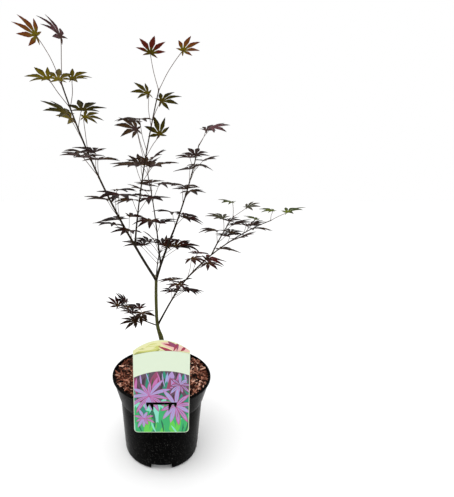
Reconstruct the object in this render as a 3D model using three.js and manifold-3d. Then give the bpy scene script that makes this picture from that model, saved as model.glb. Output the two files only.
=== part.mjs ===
// A young japanese maple in a round black nursery pot, with bark mulch and a hanging label card.
// Millimetres, +Z up. The origin is the middle of the pot's flat underside, and the card faces -Y.

import * as THREE from "three";
import { mergeVertices } from "three/addons/utils/BufferGeometryUtils.js";
import Module from "manifold-3d";

const wasm = await Module();
wasm.setup();

// Driving dimensions, in millimetres and degrees
const GAP = 0.3; // clearance between neighbouring solids

const POT = {
  height: 154,
  rimRadius: 95,
  lipHeight: 4,
  lipRound: 0.8,
  collarTopRadius: 93.2,
  collarBottomRadius: 83.5,
  collarDepth: 50,
  collarEdge: 1.5, // rounding of the collar's lower edge
  stepHeight: 4, // slope from under the collar to the body
  bodyTopRadius: 79.5,
  bodyBottomRadius: 72,
  edgeRound: 6,
  wall: 1.8,
  floor: 13.5,
  innerRound: 2,
  padRadius: 44,
  footInner: 57,
  footOuter: 66,
  footTaper: 1, // slope of the pad's and the standing ring's inner sides
  recess: 3.5,
  notchWidth: 38,
  notchHeight: 11.5,
  notchMargin: 5, // reach of a notch's cutter past the pot's wall
  notches: 4,
  drainRadius: 50.5,
  drainHole: 4,
  drains: 6,
  sides: 32,
};

const SOIL = {
  edgeDrop: 4.5, // depth of the mulch under the lip at the pot's wall
  crownDrop: 4.7, // and round the trunk
  crownRadius: 30,
  shoulderShare: 0.8, // radius where the mulch begins to fall away, as a share of the edge's
  shoulderRise: 1,
};

const CARD = {
  width: 93.5,
  bottom: 97,
  shoulder: 248,
  top: 266.5,
  cornerRadius: 8,
  thickness: 0.6,
  back: 93.6,
  slotWidth: 52,
  // pointed cuts under the slot: their left and right ends, their tip's place across and its drop
  teeth: [
    { left: -26, right: -20.5, tip: -24, drop: 6 },
    { left: -20, right: -13.4, tip: -13.8, drop: 13 },
    { left: 11.6, right: 17.8, tip: 12, drop: 13.5 },
    { left: 20.5, right: 26, tip: 24, drop: 6 },
  ],
};

const TRUNK = {
  // height over the soil, sideways sway at that height and radius of the stem there
  stations: [
    { height: 0, sway: 4, radius: 6.6 },
    { height: 12, sway: 3.6, radius: 4.6 },
    { height: 40, sway: 2.2, radius: 4.1 },
    { height: 68, sway: 0.8, radius: 4.4 },
    { height: 78, sway: -1.2, radius: 4.5 },
    { height: 92, sway: -5.6, radius: 3.4 },
    { height: 104, sway: -8, radius: 3.1 },
    { height: 148, sway: -10, radius: 2.9 },
    { height: 191, sway: -10, radius: 2.8 },
  ],
  rootRidges: 5,
  ridgeDepth: 0.35,
  flareHeight: 16,
  sides: 12,
  steps: 24,
};

// Each bough starts on the line of the limb that carries it, at a share of that limb's length.
const BOUGHS = {
  bough_left: {
    on: "trunk", at: 1, heading: -156, turn: 8, lean: 33, droop: -3, length: 84, butt: 2.6, tip: 2.1,
  },
  bough_right: {
    on: "trunk", at: 1, heading: 30, turn: 10, lean: 19, droop: 11, length: 98, butt: 2.4, tip: 1.8,
  },
  bough_centre: {
    on: "bough_left", at: 0.94, heading: -57, turn: 4, lean: 9, droop: 3, length: 50, butt: 1.6, tip: 1.4,
  },
  bough_back: {
    on: "bough_right", at: 0.3, heading: 116, turn: -8, lean: 20, droop: -3, length: 54, butt: 1.6, tip: 1.4,
  },
  bough_low_right: {
    on: "trunk", at: 0.53, heading: -20, turn: 4, lean: 26, droop: 2, length: 57, butt: 1.8, tip: 1.5,
  },
};

// Each mass has one stem, and pairs of leaves along it. A pair's first leaf faces a compass heading
// and its second one the opposite way. The stalks are their lengths, one only where a leaf is single.
// The leaves of the young tips stand up to the light, each held in its own pose and blade length.
const FOLIAGE = {
  foliage_left: {
    on: "bough_left", at: 1, heading: -152, turn: 32, lean: 30, droop: -5, length: 268, butt: 1.9, tip: 1.0,
    seed: 2149, leafSize: 1,
    pairs: [
      { at: 0.03, facing: -60, stalks: [22, 42] },
      { at: 0.19, facing: 130, stalks: [40, 50] },
      { at: 0.48, facing: 245, stalks: [44, 28] },
      { at: 0.63, facing: 120, stalks: [58, 58] },
      { at: 0.77, facing: 0, stalks: [26] },
      {
        at: 0.88, facing: 235, stalks: [46, 40],
        held: [
          { heading: -150, nod: 0, roll: 10, blade: 28 },
          { heading: 10, nod: -15, roll: -10, blade: 27 },
        ],
      },
      { at: 0.98, facing: 250, stalks: [12], held: [{ heading: 100, nod: -30, roll: 0, blade: 26 }] },
      {
        at: 1, facing: 130, stalks: [73, 58],
        held: [
          { heading: -180, nod: -15, roll: 45, blade: 32 },
          { heading: -150, nod: -45, roll: 0, blade: 28 },
        ],
      },
    ],
  },
  foliage_centre: {
    on: "bough_centre", at: 1, heading: -52, turn: 18, lean: 12, droop: 5, length: 202, butt: 1.3, tip: 0.9,
    seed: 2059, leafSize: 0.9,
    pairs: [
      { at: 0.04, facing: 165, stalks: [25, 32] },
      { at: 0.3, facing: 160, stalks: [30, 34] },
      { at: 0.46, facing: 140, stalks: [70] },
      { at: 0.5, facing: 215, stalks: [46, 44] },
      {
        at: 0.74, facing: 120, stalks: [54, 42],
        held: [
          { heading: 170, nod: -15, roll: 20, blade: 27 },
          { heading: -10, nod: -15, roll: -20, blade: 27 },
        ],
      },
      {
        at: 1, facing: 145, stalks: [56, 62],
        held: [
          { heading: -80, nod: -25, roll: -10, blade: 30 },
          { heading: -30, nod: -20, roll: -25, blade: 27 },
        ],
      },
    ],
  },
  foliage_back: {
    on: "bough_back", at: 1, heading: 112, turn: 16, lean: 17, droop: 2, length: 118, butt: 1.3, tip: 0.9,
    seed: 967, leafSize: 0.9,
    pairs: [
      { at: 0.05, facing: 225, stalks: [26, 20] },
      { at: 0.56, facing: 190, stalks: [24, 36] },
      { at: 1, facing: 150, stalks: [26, 30] },
    ],
  },
  foliage_right: {
    on: "bough_right", at: 1, heading: 40, turn: 8, lean: 27, droop: -8, length: 172, butt: 1.7, tip: 0.9,
    seed: 1357, leafSize: 0.9,
    pairs: [
      { at: 0.05, facing: 10, stalks: [22, 26] },
      { at: 0.31, facing: 240, stalks: [34, 34] },
      { at: 0.56, facing: 100, stalks: [34, 34] },
      { at: 0.66, facing: 20, stalks: [36] },
      { at: 0.98, facing: 60, stalks: [46], held: [{ heading: 30, nod: -12, roll: -10, blade: 28 }] },
      { at: 1, facing: -20, stalks: [38], held: [{ heading: 0, nod: -25, roll: 20, blade: 27 }] },
    ],
  },
  foliage_inner: {
    on: "trunk", at: 1, heading: 80, turn: -10, lean: 20, droop: 8, length: 50, butt: 1.3, tip: 0.9,
    seed: 1108, leafSize: 0.85, spread: 62,
    pairs: [
      { at: 0.6, facing: 170, stalks: [48, 56] },
      { at: 0.75, facing: 162, stalks: [40, 40] },
      { at: 1, facing: 240, stalks: [30, 30] },
    ],
  },
  foliage_right_sweep: {
    on: "bough_low_right", at: 1, heading: -18, turn: 50, lean: 27, droop: 52, length: 252,
    butt: 1.4, tip: 0.8,
    seed: 315, leafSize: 0.8,
    pairs: [
      { at: 0.02, facing: -30, stalks: [34, 14] },
      { at: 0.05, facing: 150, stalks: [30, 26] },
      { at: 0.22, facing: 40, stalks: [50, 44] },
      { at: 0.48, facing: -60, stalks: [16] },
      { at: 0.6, facing: 140, stalks: [22, 18] },
      { at: 0.74, facing: 125, stalks: [20, 18] },
      { at: 0.84, facing: 130, stalks: [24] },
      { at: 1, facing: 110, stalks: [36, 32] },
    ],
    twigs: [
      {
        at: 0.46, heading: 20, turn: 0, lean: 27, droop: 10, length: 78, butt: 1.3, tip: 0.8,
        pairs: [
          { at: 0.3, facing: 200, stalks: [22, 20] },
          { at: 0.6, facing: 190, stalks: [24, 20] },
          { at: 1, facing: 180, stalks: [26, 30] },
        ],
      },
    ],
  },
  foliage_low_left: {
    on: "trunk", at: 0.53, heading: -149, turn: 0, lean: 63, droop: -12, length: 70, butt: 1.2, tip: 0.9,
    seed: 1211, leafSize: 0.72,
    pairs: [
      { at: 0.42, facing: 50, stalks: [26, 28] },
      { at: 1, facing: 160, stalks: [24, 18] },
    ],
  },
};

const LEAF = {
  // lobes from the middle one outwards: turn from the leaf's midline and share of the blade's length
  lobes: [
    { angle: 0, reach: 1 },
    { angle: 37, reach: 0.94 },
    { angle: 76, reach: 0.74 },
    { angle: 119, reach: 0.42 },
  ],
  narrowFrom: 100, // the lobes turned further than this are plain points
  oldBlade: 43, // middle lobe of an old leaf, from the top of the stalk to its tip
  youngBlade: 34, // and of the youngest pair
  widest: 0.5, // place of a lobe's widest point along it
  halfWidth: 0.115, // half a lobe's greatest width, as a share of its length
  notch: 0.15, // distance of the notches between lobes from the top of the stalk
  heel: 0.05, // reach of the blade behind the top of the stalk
  thickness: 0.8,
  droop: 0.11, // fall of a lobe's tip, as a share of the blade's length
  sizeSpread: 0.12,
  headingSpread: 34,
  oldNod: 4, // dip of the middle lobe under level on old leaves
  youngNod: -34, // and on the youngest pair, which stands up
  nodSpread: 8,
  rollSpread: 10,
};

const STALK = {
  radius: 0.65,
  sides: 3,
  spread: 37, // angle between a stalk and the stem
  upward: 0.3, // pull of a stalk towards the light
  sink: 3, // length of a stalk inside the blade
};

const BOUGH_SIDES = 8;
const BOUGH_STEPS = 6;
const STEM_SIDES = 6;
const STEM_STEP = 25; // length of one straight stretch of a stem

// Finishes
const finish = (color, roughness) => new THREE.MeshStandardMaterial({ color, roughness, metalness: 0 });
const BLACK_PLASTIC = finish(0x101011, 0.42);
const MULCH = finish(0x5a3427, 0.95);
const CARD_PRINT = finish(0xdcefc6, 0.35);
const YOUNG_BARK = finish(0x585a32, 0.6);
const BOUGH_BARK = finish(0x2e261f, 0.6);
const LEAF_SKIN = finish(0x452826, 0.55);

const UP = new THREE.Vector3(0, 0, 1);
const radians = THREE.MathUtils.degToRad;

// Unit vector with a compass heading in plan and a lean from upright.
function direction(heading, lean) {
  const h = radians(heading);
  const l = radians(lean);
  return new THREE.Vector3(Math.sin(l) * Math.cos(h), Math.sin(l) * Math.sin(h), Math.cos(l));
}

// Seeded numbers from 0 to 1, the same on every run.
function seeded(seed) {
  let state = seed;
  return () => {
    state = (Math.imul(state, 1664525) + 1013904223) >>> 0;
    return state / 4294967296;
  };
}

// Geometry to solid, solid to geometry
function solidOf(geometry) {
  const plain = geometry.clone();
  plain.deleteAttribute("normal");
  plain.deleteAttribute("uv");
  const merged = mergeVertices(plain, 1e-4);
  const mesh = new wasm.Mesh({
    numProp: 3,
    vertProperties: merged.attributes.position.array,
    triVerts: new Uint32Array(merged.index.array),
  });
  return new wasm.Manifold(mesh);
}

function geometryOf(solid) {
  const mesh = solid.getMesh();
  const geometry = new THREE.BufferGeometry();
  geometry.setAttribute("position", new THREE.BufferAttribute(mesh.vertProperties, 3));
  geometry.setIndex(new THREE.BufferAttribute(mesh.triVerts, 1));
  geometry.computeVertexNormals();
  return geometry;
}

function part(name, solid, material) {
  const mesh = new THREE.Mesh(geometryOf(solid), material);
  mesh.name = name;
  return mesh;
}

// Points along a limb whose heading and lean change evenly from its butt to its tip.
function limbPath({ heading, turn, lean, droop, length }, from, steps) {
  const points = [from.clone()];
  for (let i = 0; i < steps; i++) {
    const t = (i + 0.5) / steps;
    const step = direction(heading + turn * t, lean + droop * t).multiplyScalar(length / steps);
    points.push(points[i].clone().add(step));
  }
  return points;
}

// Place and direction of a path at a share of its points.
function pathAt(points, share) {
  const last = points.length - 1;
  const i = Math.min(Math.floor(share * last), last - 1);
  const point = points[i].clone().lerp(points[i + 1], share * last - i);
  return { point, tangent: points[i + 1].clone().sub(points[i]).normalize() };
}

// The same path, longer by a clearance at both ends.
function lengthened(points, extra) {
  const butt = pathAt(points, 0);
  const tip = pathAt(points, 1);
  return [
    butt.point.addScaledVector(butt.tangent, -extra),
    ...points.slice(1, -1),
    tip.point.addScaledVector(tip.tangent, extra),
  ];
}

// A capped cylinder bent along a path. radiusAt(t, angle) gives its radius.
function bentRod(points, radiusAt, sides) {
  const steps = points.length - 1;
  const geometry = new THREE.CylinderGeometry(1, 1, 1, sides, steps);
  const tangents = points.map((p, i) => {
    const before = points[Math.max(i - 1, 0)];
    const after = points[Math.min(i + 1, steps)];
    return after.clone().sub(before).normalize();
  });
  let across = new THREE.Vector3(1, 0, 0);
  const frames = tangents.map((tangent) => {
    across = across.clone().addScaledVector(tangent, -across.dot(tangent)).normalize();
    return { across, side: new THREE.Vector3().crossVectors(tangent, across) };
  });
  const position = geometry.attributes.position;
  const vertex = new THREE.Vector3();
  for (let i = 0; i < position.count; i++) {
    vertex.fromBufferAttribute(position, i);
    const t = vertex.y + 0.5;
    const ring = Math.round(t * steps);
    const angle = Math.atan2(-vertex.z, vertex.x);
    const reach = Math.hypot(vertex.x, vertex.z) > 0.5 ? radiusAt(t, angle) : 0;
    vertex
      .copy(points[ring])
      .addScaledVector(frames[ring].across, reach * Math.cos(angle))
      .addScaledVector(frames[ring].side, reach * Math.sin(angle));
    position.setXYZ(i, vertex.x, vertex.y, vertex.z);
  }
  return solidOf(geometry);
}

const taper = (butt, tip, extra = 0) => (t) => THREE.MathUtils.lerp(butt, tip, t) + extra;

// Heights on the pot that its shell and its filling share
const LIP_BOTTOM = POT.height - POT.lipHeight;
const COLLAR_BOTTOM = POT.height - POT.collarDepth;
const STEP_BOTTOM = COLLAR_BOTTOM - POT.stepHeight;

// Inside of the shell from the top of the collar to the floor, drawn in by a further clearance
function innerProfile(clearance) {
  const inset = POT.wall + clearance;
  return [
    [POT.collarTopRadius - inset, LIP_BOTTOM],
    [POT.collarBottomRadius - inset, COLLAR_BOTTOM + POT.collarEdge],
    [POT.bodyTopRadius - inset, STEP_BOTTOM],
    [POT.bodyBottomRadius - inset, POT.floor + POT.innerRound],
    [POT.bodyBottomRadius - inset - POT.innerRound, POT.floor + clearance],
    [0, POT.floor + clearance],
  ];
}

// Pot: one turned shell with a lip, a tapered collar, a stepped body and a notched standing ring
function potProfile() {
  const { rimRadius, height, lipRound, collarEdge, edgeRound, recess, footTaper } = POT;
  const outer = [
    [0, 0], [POT.padRadius, 0], [POT.padRadius + footTaper, recess], [POT.footInner - footTaper, recess],
    [POT.footInner, 0], [POT.footOuter, 0],
  ];
  const roundSteps = 4;
  for (let i = 1; i <= roundSteps; i++) {
    const a = (Math.PI / 2) * (i / roundSteps);
    outer.push([
      POT.footOuter + (POT.bodyBottomRadius - POT.footOuter) * Math.sin(a),
      edgeRound * (1 - Math.cos(a)),
    ]);
  }
  outer.push(
    [POT.bodyTopRadius, STEP_BOTTOM], [POT.collarBottomRadius - collarEdge, COLLAR_BOTTOM],
    [POT.collarBottomRadius, COLLAR_BOTTOM + collarEdge], [POT.collarTopRadius, LIP_BOTTOM],
    [rimRadius, LIP_BOTTOM + lipRound], [rimRadius, height - lipRound], [rimRadius - lipRound, height],
  );
  return [...outer, [POT.collarTopRadius - POT.wall, height], ...innerProfile(0)];
}

// A profile of [radius, height] pairs turned about the upright axis.
function turned(profile) {
  const lathe = new THREE.LatheGeometry(profile.map(([r, z]) => new THREE.Vector2(r, z)), POT.sides);
  return solidOf(lathe.rotateX(Math.PI / 2));
}

function buildPot() {
  let pot = turned(potProfile());
  const notchInner = POT.footInner - POT.footTaper;
  const notchReach = POT.bodyBottomRadius + POT.notchMargin - notchInner;
  for (let i = 0; i < POT.notches; i++) {
    const notch = new THREE.BoxGeometry(notchReach, POT.notchWidth, 2 * POT.notchHeight);
    notch.translate(notchInner + notchReach / 2, 0, 0);
    notch.rotateZ((2 * Math.PI * i) / POT.notches - Math.PI / 2);
    pot = pot.subtract(solidOf(notch));
  }
  for (let i = 0; i < POT.drains; i++) {
    const drain = new THREE.CylinderGeometry(POT.drainHole, POT.drainHole, 2 * POT.floor, 12);
    drain.rotateX(Math.PI / 2).translate(POT.drainRadius, 0, POT.floor);
    drain.rotateZ((2 * Math.PI * (i + 0.5)) / POT.drains);
    pot = pot.subtract(solidOf(drain));
  }
  return pot;
}

// Soil and mulch: fills the pot to just under the rim, with a low crown round the trunk
const SOIL_TOP = POT.height - SOIL.crownDrop;

function buildSoil() {
  const [collarTop, collarBottom, ...body] = innerProfile(GAP);
  const edgeTop = POT.height - SOIL.edgeDrop;
  const edgeRadius = THREE.MathUtils.mapLinear(
    edgeTop, collarBottom[1], collarTop[1], collarBottom[0], collarTop[0],
  );
  return turned([
    ...body.reverse(), collarBottom, [edgeRadius, edgeTop],
    [edgeRadius * SOIL.shoulderShare, edgeTop + SOIL.shoulderRise],
    [SOIL.crownRadius, SOIL_TOP], [0, SOIL_TOP],
  ]);
}

// Label card: hangs upright by its slot on the front of the lip, which shows through the slot
function buildCard() {
  const half = CARD.width / 2;
  const { bottom, shoulder, top, cornerRadius } = CARD;
  const outline = new THREE.Shape();
  outline.moveTo(-half + cornerRadius, bottom);
  outline.lineTo(half - cornerRadius, bottom);
  outline.quadraticCurveTo(half, bottom, half, bottom + cornerRadius);
  outline.lineTo(half, shoulder);
  outline.quadraticCurveTo(half * 0.5, top, 0, top);
  outline.quadraticCurveTo(-half * 0.5, top, -half, shoulder);
  outline.lineTo(-half, bottom + cornerRadius);
  outline.quadraticCurveTo(-half, bottom, -half + cornerRadius, bottom);
  const slotHalf = CARD.slotWidth / 2;
  const slotTop = POT.height + GAP;
  const slotBottom = POT.height - POT.lipHeight - GAP;
  const slot = new THREE.Path();
  slot.moveTo(-slotHalf, slotTop);
  for (const { left, right, tip, drop } of CARD.teeth) {
    slot.lineTo(left, slotBottom);
    slot.lineTo(tip, slotBottom - drop);
    slot.lineTo(right, slotBottom);
  }
  slot.lineTo(slotHalf, slotTop);
  outline.holes.push(slot);
  const card = new THREE.ExtrudeGeometry(outline, {
    depth: CARD.thickness, bevelEnabled: false, curveSegments: 8,
  });
  card.rotateX(Math.PI / 2).translate(0, -CARD.back, 0);
  return solidOf(card);
}

// Trunk: flat cut on the soil, ridged root flare, a swelling at the graft and a lean to its fork
function trunkPath() {
  const places = TRUNK.stations.map(({ height, sway }) => {
    return new THREE.Vector3(sway, 0, SOIL_TOP + GAP + height);
  });
  const points = new THREE.CatmullRomCurve3(places).getSpacedPoints(TRUNK.steps);
  points[0].x = points[1].x; // the foot stands square on the soil
  return points;
}

function trunkRadius(height) {
  const above = TRUNK.stations.findIndex((station) => station.height > height);
  if (above < 0) return TRUNK.stations.at(-1).radius;
  const [low, high] = [TRUNK.stations[above - 1], TRUNK.stations[above]];
  return THREE.MathUtils.mapLinear(height, low.height, high.height, low.radius, high.radius);
}

function buildTrunk(path, extra) {
  const foot = path[0].z;
  return bentRod(path, (t, angle) => {
    const height = pathAt(path, t).point.z - foot;
    const flare = Math.max(0, 1 - height / TRUNK.flareHeight) ** 2;
    const ridges = 1 + TRUNK.ridgeDepth * flare * Math.cos(TRUNK.rootRidges * angle);
    return trunkRadius(height) * ridges + extra;
  }, TRUNK.sides);
}

// Leaf: a flat plate in the outline of seven narrow lobes, with its lobes bent down
function leafOutline(blade) {
  const { lobes, widest, halfWidth, notch } = LEAF;
  const fan = [...lobes.slice(1).reverse().map(({ angle, reach }) => ({ angle: -angle, reach })), ...lobes];
  const polar = (radius, angle) => [radius * Math.cos(radians(angle)), radius * Math.sin(radians(angle))];
  const points = [polar(blade * LEAF.heel, 180)];
  fan.forEach(({ angle, reach }, i) => {
    const length = blade * reach;
    const [dx, dy] = polar(1, angle);
    const [wx, wy] = [widest * length, halfWidth * length];
    const narrow = Math.abs(angle) > LEAF.narrowFrom;
    if (!narrow) points.push([dx * wx + dy * wy, dy * wx - dx * wy]);
    points.push(polar(length, angle));
    if (!narrow) points.push([dx * wx - dy * wy, dy * wx + dx * wy]);
    if (i < fan.length - 1) points.push(polar(blade * notch, (angle + fan[i + 1].angle) / 2));
  });
  return new THREE.Shape(points.map(([x, y]) => new THREE.Vector2(x, y)));
}

function leafSolid(hub, pose, blade) {
  const plate = new THREE.ExtrudeGeometry(leafOutline(blade), {
    depth: LEAF.thickness, bevelEnabled: false, steps: 1,
  });
  plate.translate(0, 0, -LEAF.thickness / 2);
  const position = plate.attributes.position;
  for (let i = 0; i < position.count; i++) {
    const share = Math.hypot(position.getX(i), position.getY(i)) / blade;
    position.setZ(i, position.getZ(i) - LEAF.droop * blade * share * share);
  }
  return solidOf(plate.applyMatrix4(pose.clone().setPosition(hub)));
}

// Turns a blade's own axes to its heading, nod and roll.
function bladePose({ heading, nod, roll }) {
  const forward = direction(heading, 90 + nod);
  const side = new THREE.Vector3().crossVectors(UP, forward).normalize();
  const normal = new THREE.Vector3().crossVectors(forward, side);
  const pose = new THREE.Matrix4().makeBasis(forward, side, normal);
  return pose.multiply(new THREE.Matrix4().makeRotationX(radians(roll)));
}

// The stalk and blade of one leaf. Four seeded draws set its blade's length, heading, nod and roll,
// unless its pair holds it in a pose of its own.
function growLeaf({ point, tangent }, { facing, spread, stalk, youth, size, held }, random) {
  const vary = (range) => (2 * random() - 1) * range;
  const grown = THREE.MathUtils.lerp(LEAF.oldBlade, LEAF.youngBlade, youth);
  const blade = grown * size * (1 + vary(LEAF.sizeSpread));
  const headingOffset = vary(LEAF.headingSpread);
  const nod = THREE.MathUtils.lerp(LEAF.oldNod, LEAF.youngNod, youth) + vary(LEAF.nodSpread);
  const roll = vary(LEAF.rollSpread);
  const radial = direction(facing, 90);
  radial.addScaledVector(tangent, -radial.dot(tangent)).normalize();
  const along = tangent.clone().multiplyScalar(Math.cos(radians(spread)));
  along.addScaledVector(radial, Math.sin(radians(spread))).addScaledVector(UP, STALK.upward).normalize();
  const hub = point.clone().addScaledVector(along, stalk);
  const heading = THREE.MathUtils.radToDeg(Math.atan2(along.y, along.x)) + headingOffset;
  const posed = held ?? { heading, nod, roll, blade };
  const pose = bladePose(posed);
  const forward = new THREE.Vector3().setFromMatrixColumn(pose, 0);
  const stalkPath = [point, hub, hub.clone().addScaledVector(forward, STALK.sink)];
  const rod = bentRod(stalkPath, () => STALK.radius, STALK.sides);
  return { rod, leaf: leafSolid(hub, pose, posed.blade) };
}

// A mass's stem or twig with its pairs of leaves and its twigs, fused.
function growStem(spec, { leafSize, spread = STALK.spread }, from, random, limbs) {
  const path = limbPath(spec, from, Math.ceil(spec.length / STEM_STEP));
  let mass = bentRod(path, taper(spec.butt, spec.tip), STEM_SIDES);
  for (const { at, facing, stalks, held = [] } of spec.pairs) {
    const node = pathAt(path, at);
    stalks.forEach((stalk, side) => {
      const habit = {
        facing: facing + 180 * side, spread, stalk, youth: at ** 3, size: leafSize, held: held[side],
      };
      const { rod, leaf } = growLeaf(node, habit, random);
      const whole = rod.add(leaf);
      if (limbs.every((limb) => limb.intersect(leaf).volume() === 0)) mass = mass.add(whole);
    });
  }
  for (const twig of spec.twigs ?? []) {
    mass = mass.add(growStem(twig, { leafSize, spread }, pathAt(path, twig.at).point, random, limbs));
  }
  return mass;
}

// Assembly
const maple = new THREE.Group();
maple.name = "potted_maple";
maple.add(part("pot", buildPot(), BLACK_PLASTIC));
maple.add(part("soil", buildSoil(), MULCH));
maple.add(part("label_card", buildCard(), CARD_PRINT));

const paths = { trunk: trunkPath() };
const clear = { trunk: buildTrunk(lengthened(paths.trunk, GAP), GAP) };
maple.add(part("trunk", buildTrunk(paths.trunk, 0), YOUNG_BARK));

for (const [name, bough] of Object.entries(BOUGHS)) {
  const from = pathAt(paths[bough.on], bough.at).point;
  paths[name] = limbPath(bough, from, BOUGH_STEPS);
  let solid = bentRod(paths[name], taper(bough.butt, bough.tip), BOUGH_SIDES);
  for (const limb of Object.values(clear)) solid = solid.subtract(limb);
  maple.add(part(name, solid, BOUGH_BARK));
  clear[name] = bentRod(lengthened(paths[name], GAP), taper(bough.butt, bough.tip, GAP), BOUGH_SIDES);
}

for (const [name, spec] of Object.entries(FOLIAGE)) {
  const from = pathAt(paths[spec.on], spec.at).point;
  const limbs = Object.values(clear);
  let solid = growStem(spec, spec, from, seeded(spec.seed), limbs);
  for (const limb of limbs) solid = solid.subtract(limb);
  maple.add(part(name, solid, LEAF_SKIN));
}

export default maple;
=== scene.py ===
"""A young japanese maple in a black nursery pot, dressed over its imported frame.

Sizes are in millimetres and angles in degrees, in the frame's own axes: +Z up along the trunk and
-Y towards the label card. Every mesh is turned to metres once, when it becomes a piece.
"""

import logging
import math
from collections.abc import Callable, Iterable, Sequence
from dataclasses import dataclass, field
from enum import Enum
from functools import lru_cache

import bmesh
import bpy
import numpy as np
from mathutils import Matrix, Vector, noise


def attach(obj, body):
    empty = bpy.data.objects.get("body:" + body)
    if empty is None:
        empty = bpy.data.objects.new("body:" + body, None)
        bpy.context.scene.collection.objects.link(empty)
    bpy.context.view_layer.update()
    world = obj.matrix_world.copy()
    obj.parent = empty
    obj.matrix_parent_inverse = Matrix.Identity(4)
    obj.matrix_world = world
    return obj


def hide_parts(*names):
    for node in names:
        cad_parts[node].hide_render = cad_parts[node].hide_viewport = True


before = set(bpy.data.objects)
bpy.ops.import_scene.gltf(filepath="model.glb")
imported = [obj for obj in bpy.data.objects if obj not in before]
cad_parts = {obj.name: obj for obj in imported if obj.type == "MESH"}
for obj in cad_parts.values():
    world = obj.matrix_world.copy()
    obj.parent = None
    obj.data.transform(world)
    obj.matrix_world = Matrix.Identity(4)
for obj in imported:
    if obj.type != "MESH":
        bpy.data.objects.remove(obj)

LOG = logging.getLogger("potted_maple")
MM = 0.001
GAP = 0.3  # clearance between neighbouring solids of the frame
TINY = 1e-6  # shortest length that something is divided by
SAME_PLACE = 1e-3  # distance up to which points of a turned shape are one
CREASE = 35.0  # angle from which an edge stays sharp
CURVE_STEPS = 16  # stretches between two held points of a smooth line
MIX_UNDER, MIX_OVER, MIX_COLOUR = 6, 7, 2  # a Mix node's two colour inputs and its colour output
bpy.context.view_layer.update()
UP = Vector((0.0, 0.0, 1.0))

BMesh = bmesh.types.BMesh
Mesh = bpy.types.Mesh
Tree = bpy.types.NodeTree
Socket = bpy.types.NodeSocket
Colour = tuple[float, float, float, float]
Span = tuple[float, float]
Place = tuple[float, float]
Outline = list[Place]


# Colours and nodes


def linear(code: str) -> Colour:
    """Turn an sRGB colour to the linear one that a shader takes.

    Args:
        code: the colour as a hash and six hex digits.

    Returns:
        Red, green, blue and an alpha of one.
    """
    values = [int(code[i : i + 2], 16) / 255 for i in (1, 3, 5)]
    red, green, blue = (v / 12.92 if v <= 0.04045 else ((v + 0.055) / 1.055) ** 2.4 for v in values)
    return red, green, blue, 1.0


def add_node(tree: Tree, kind: str, inputs: dict | None = None, **settings) -> bpy.types.Node:
    """Add a node, with its settings, values and links.

    Args:
        tree: the node tree that it joins.
        kind: the node's type name.
        inputs: a value, or the socket it is linked from, for each input by name or number.
        **settings: the node's own properties.

    Returns:
        The new node.
    """
    node = tree.nodes.new(kind)
    for name, value in settings.items():
        setattr(node, name, value)
    for key, value in (inputs or {}).items():
        if isinstance(value, Socket):
            tree.links.new(value, node.inputs[key])
        else:
            node.inputs[key].default_value = value
    return node


# Finishes


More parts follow.
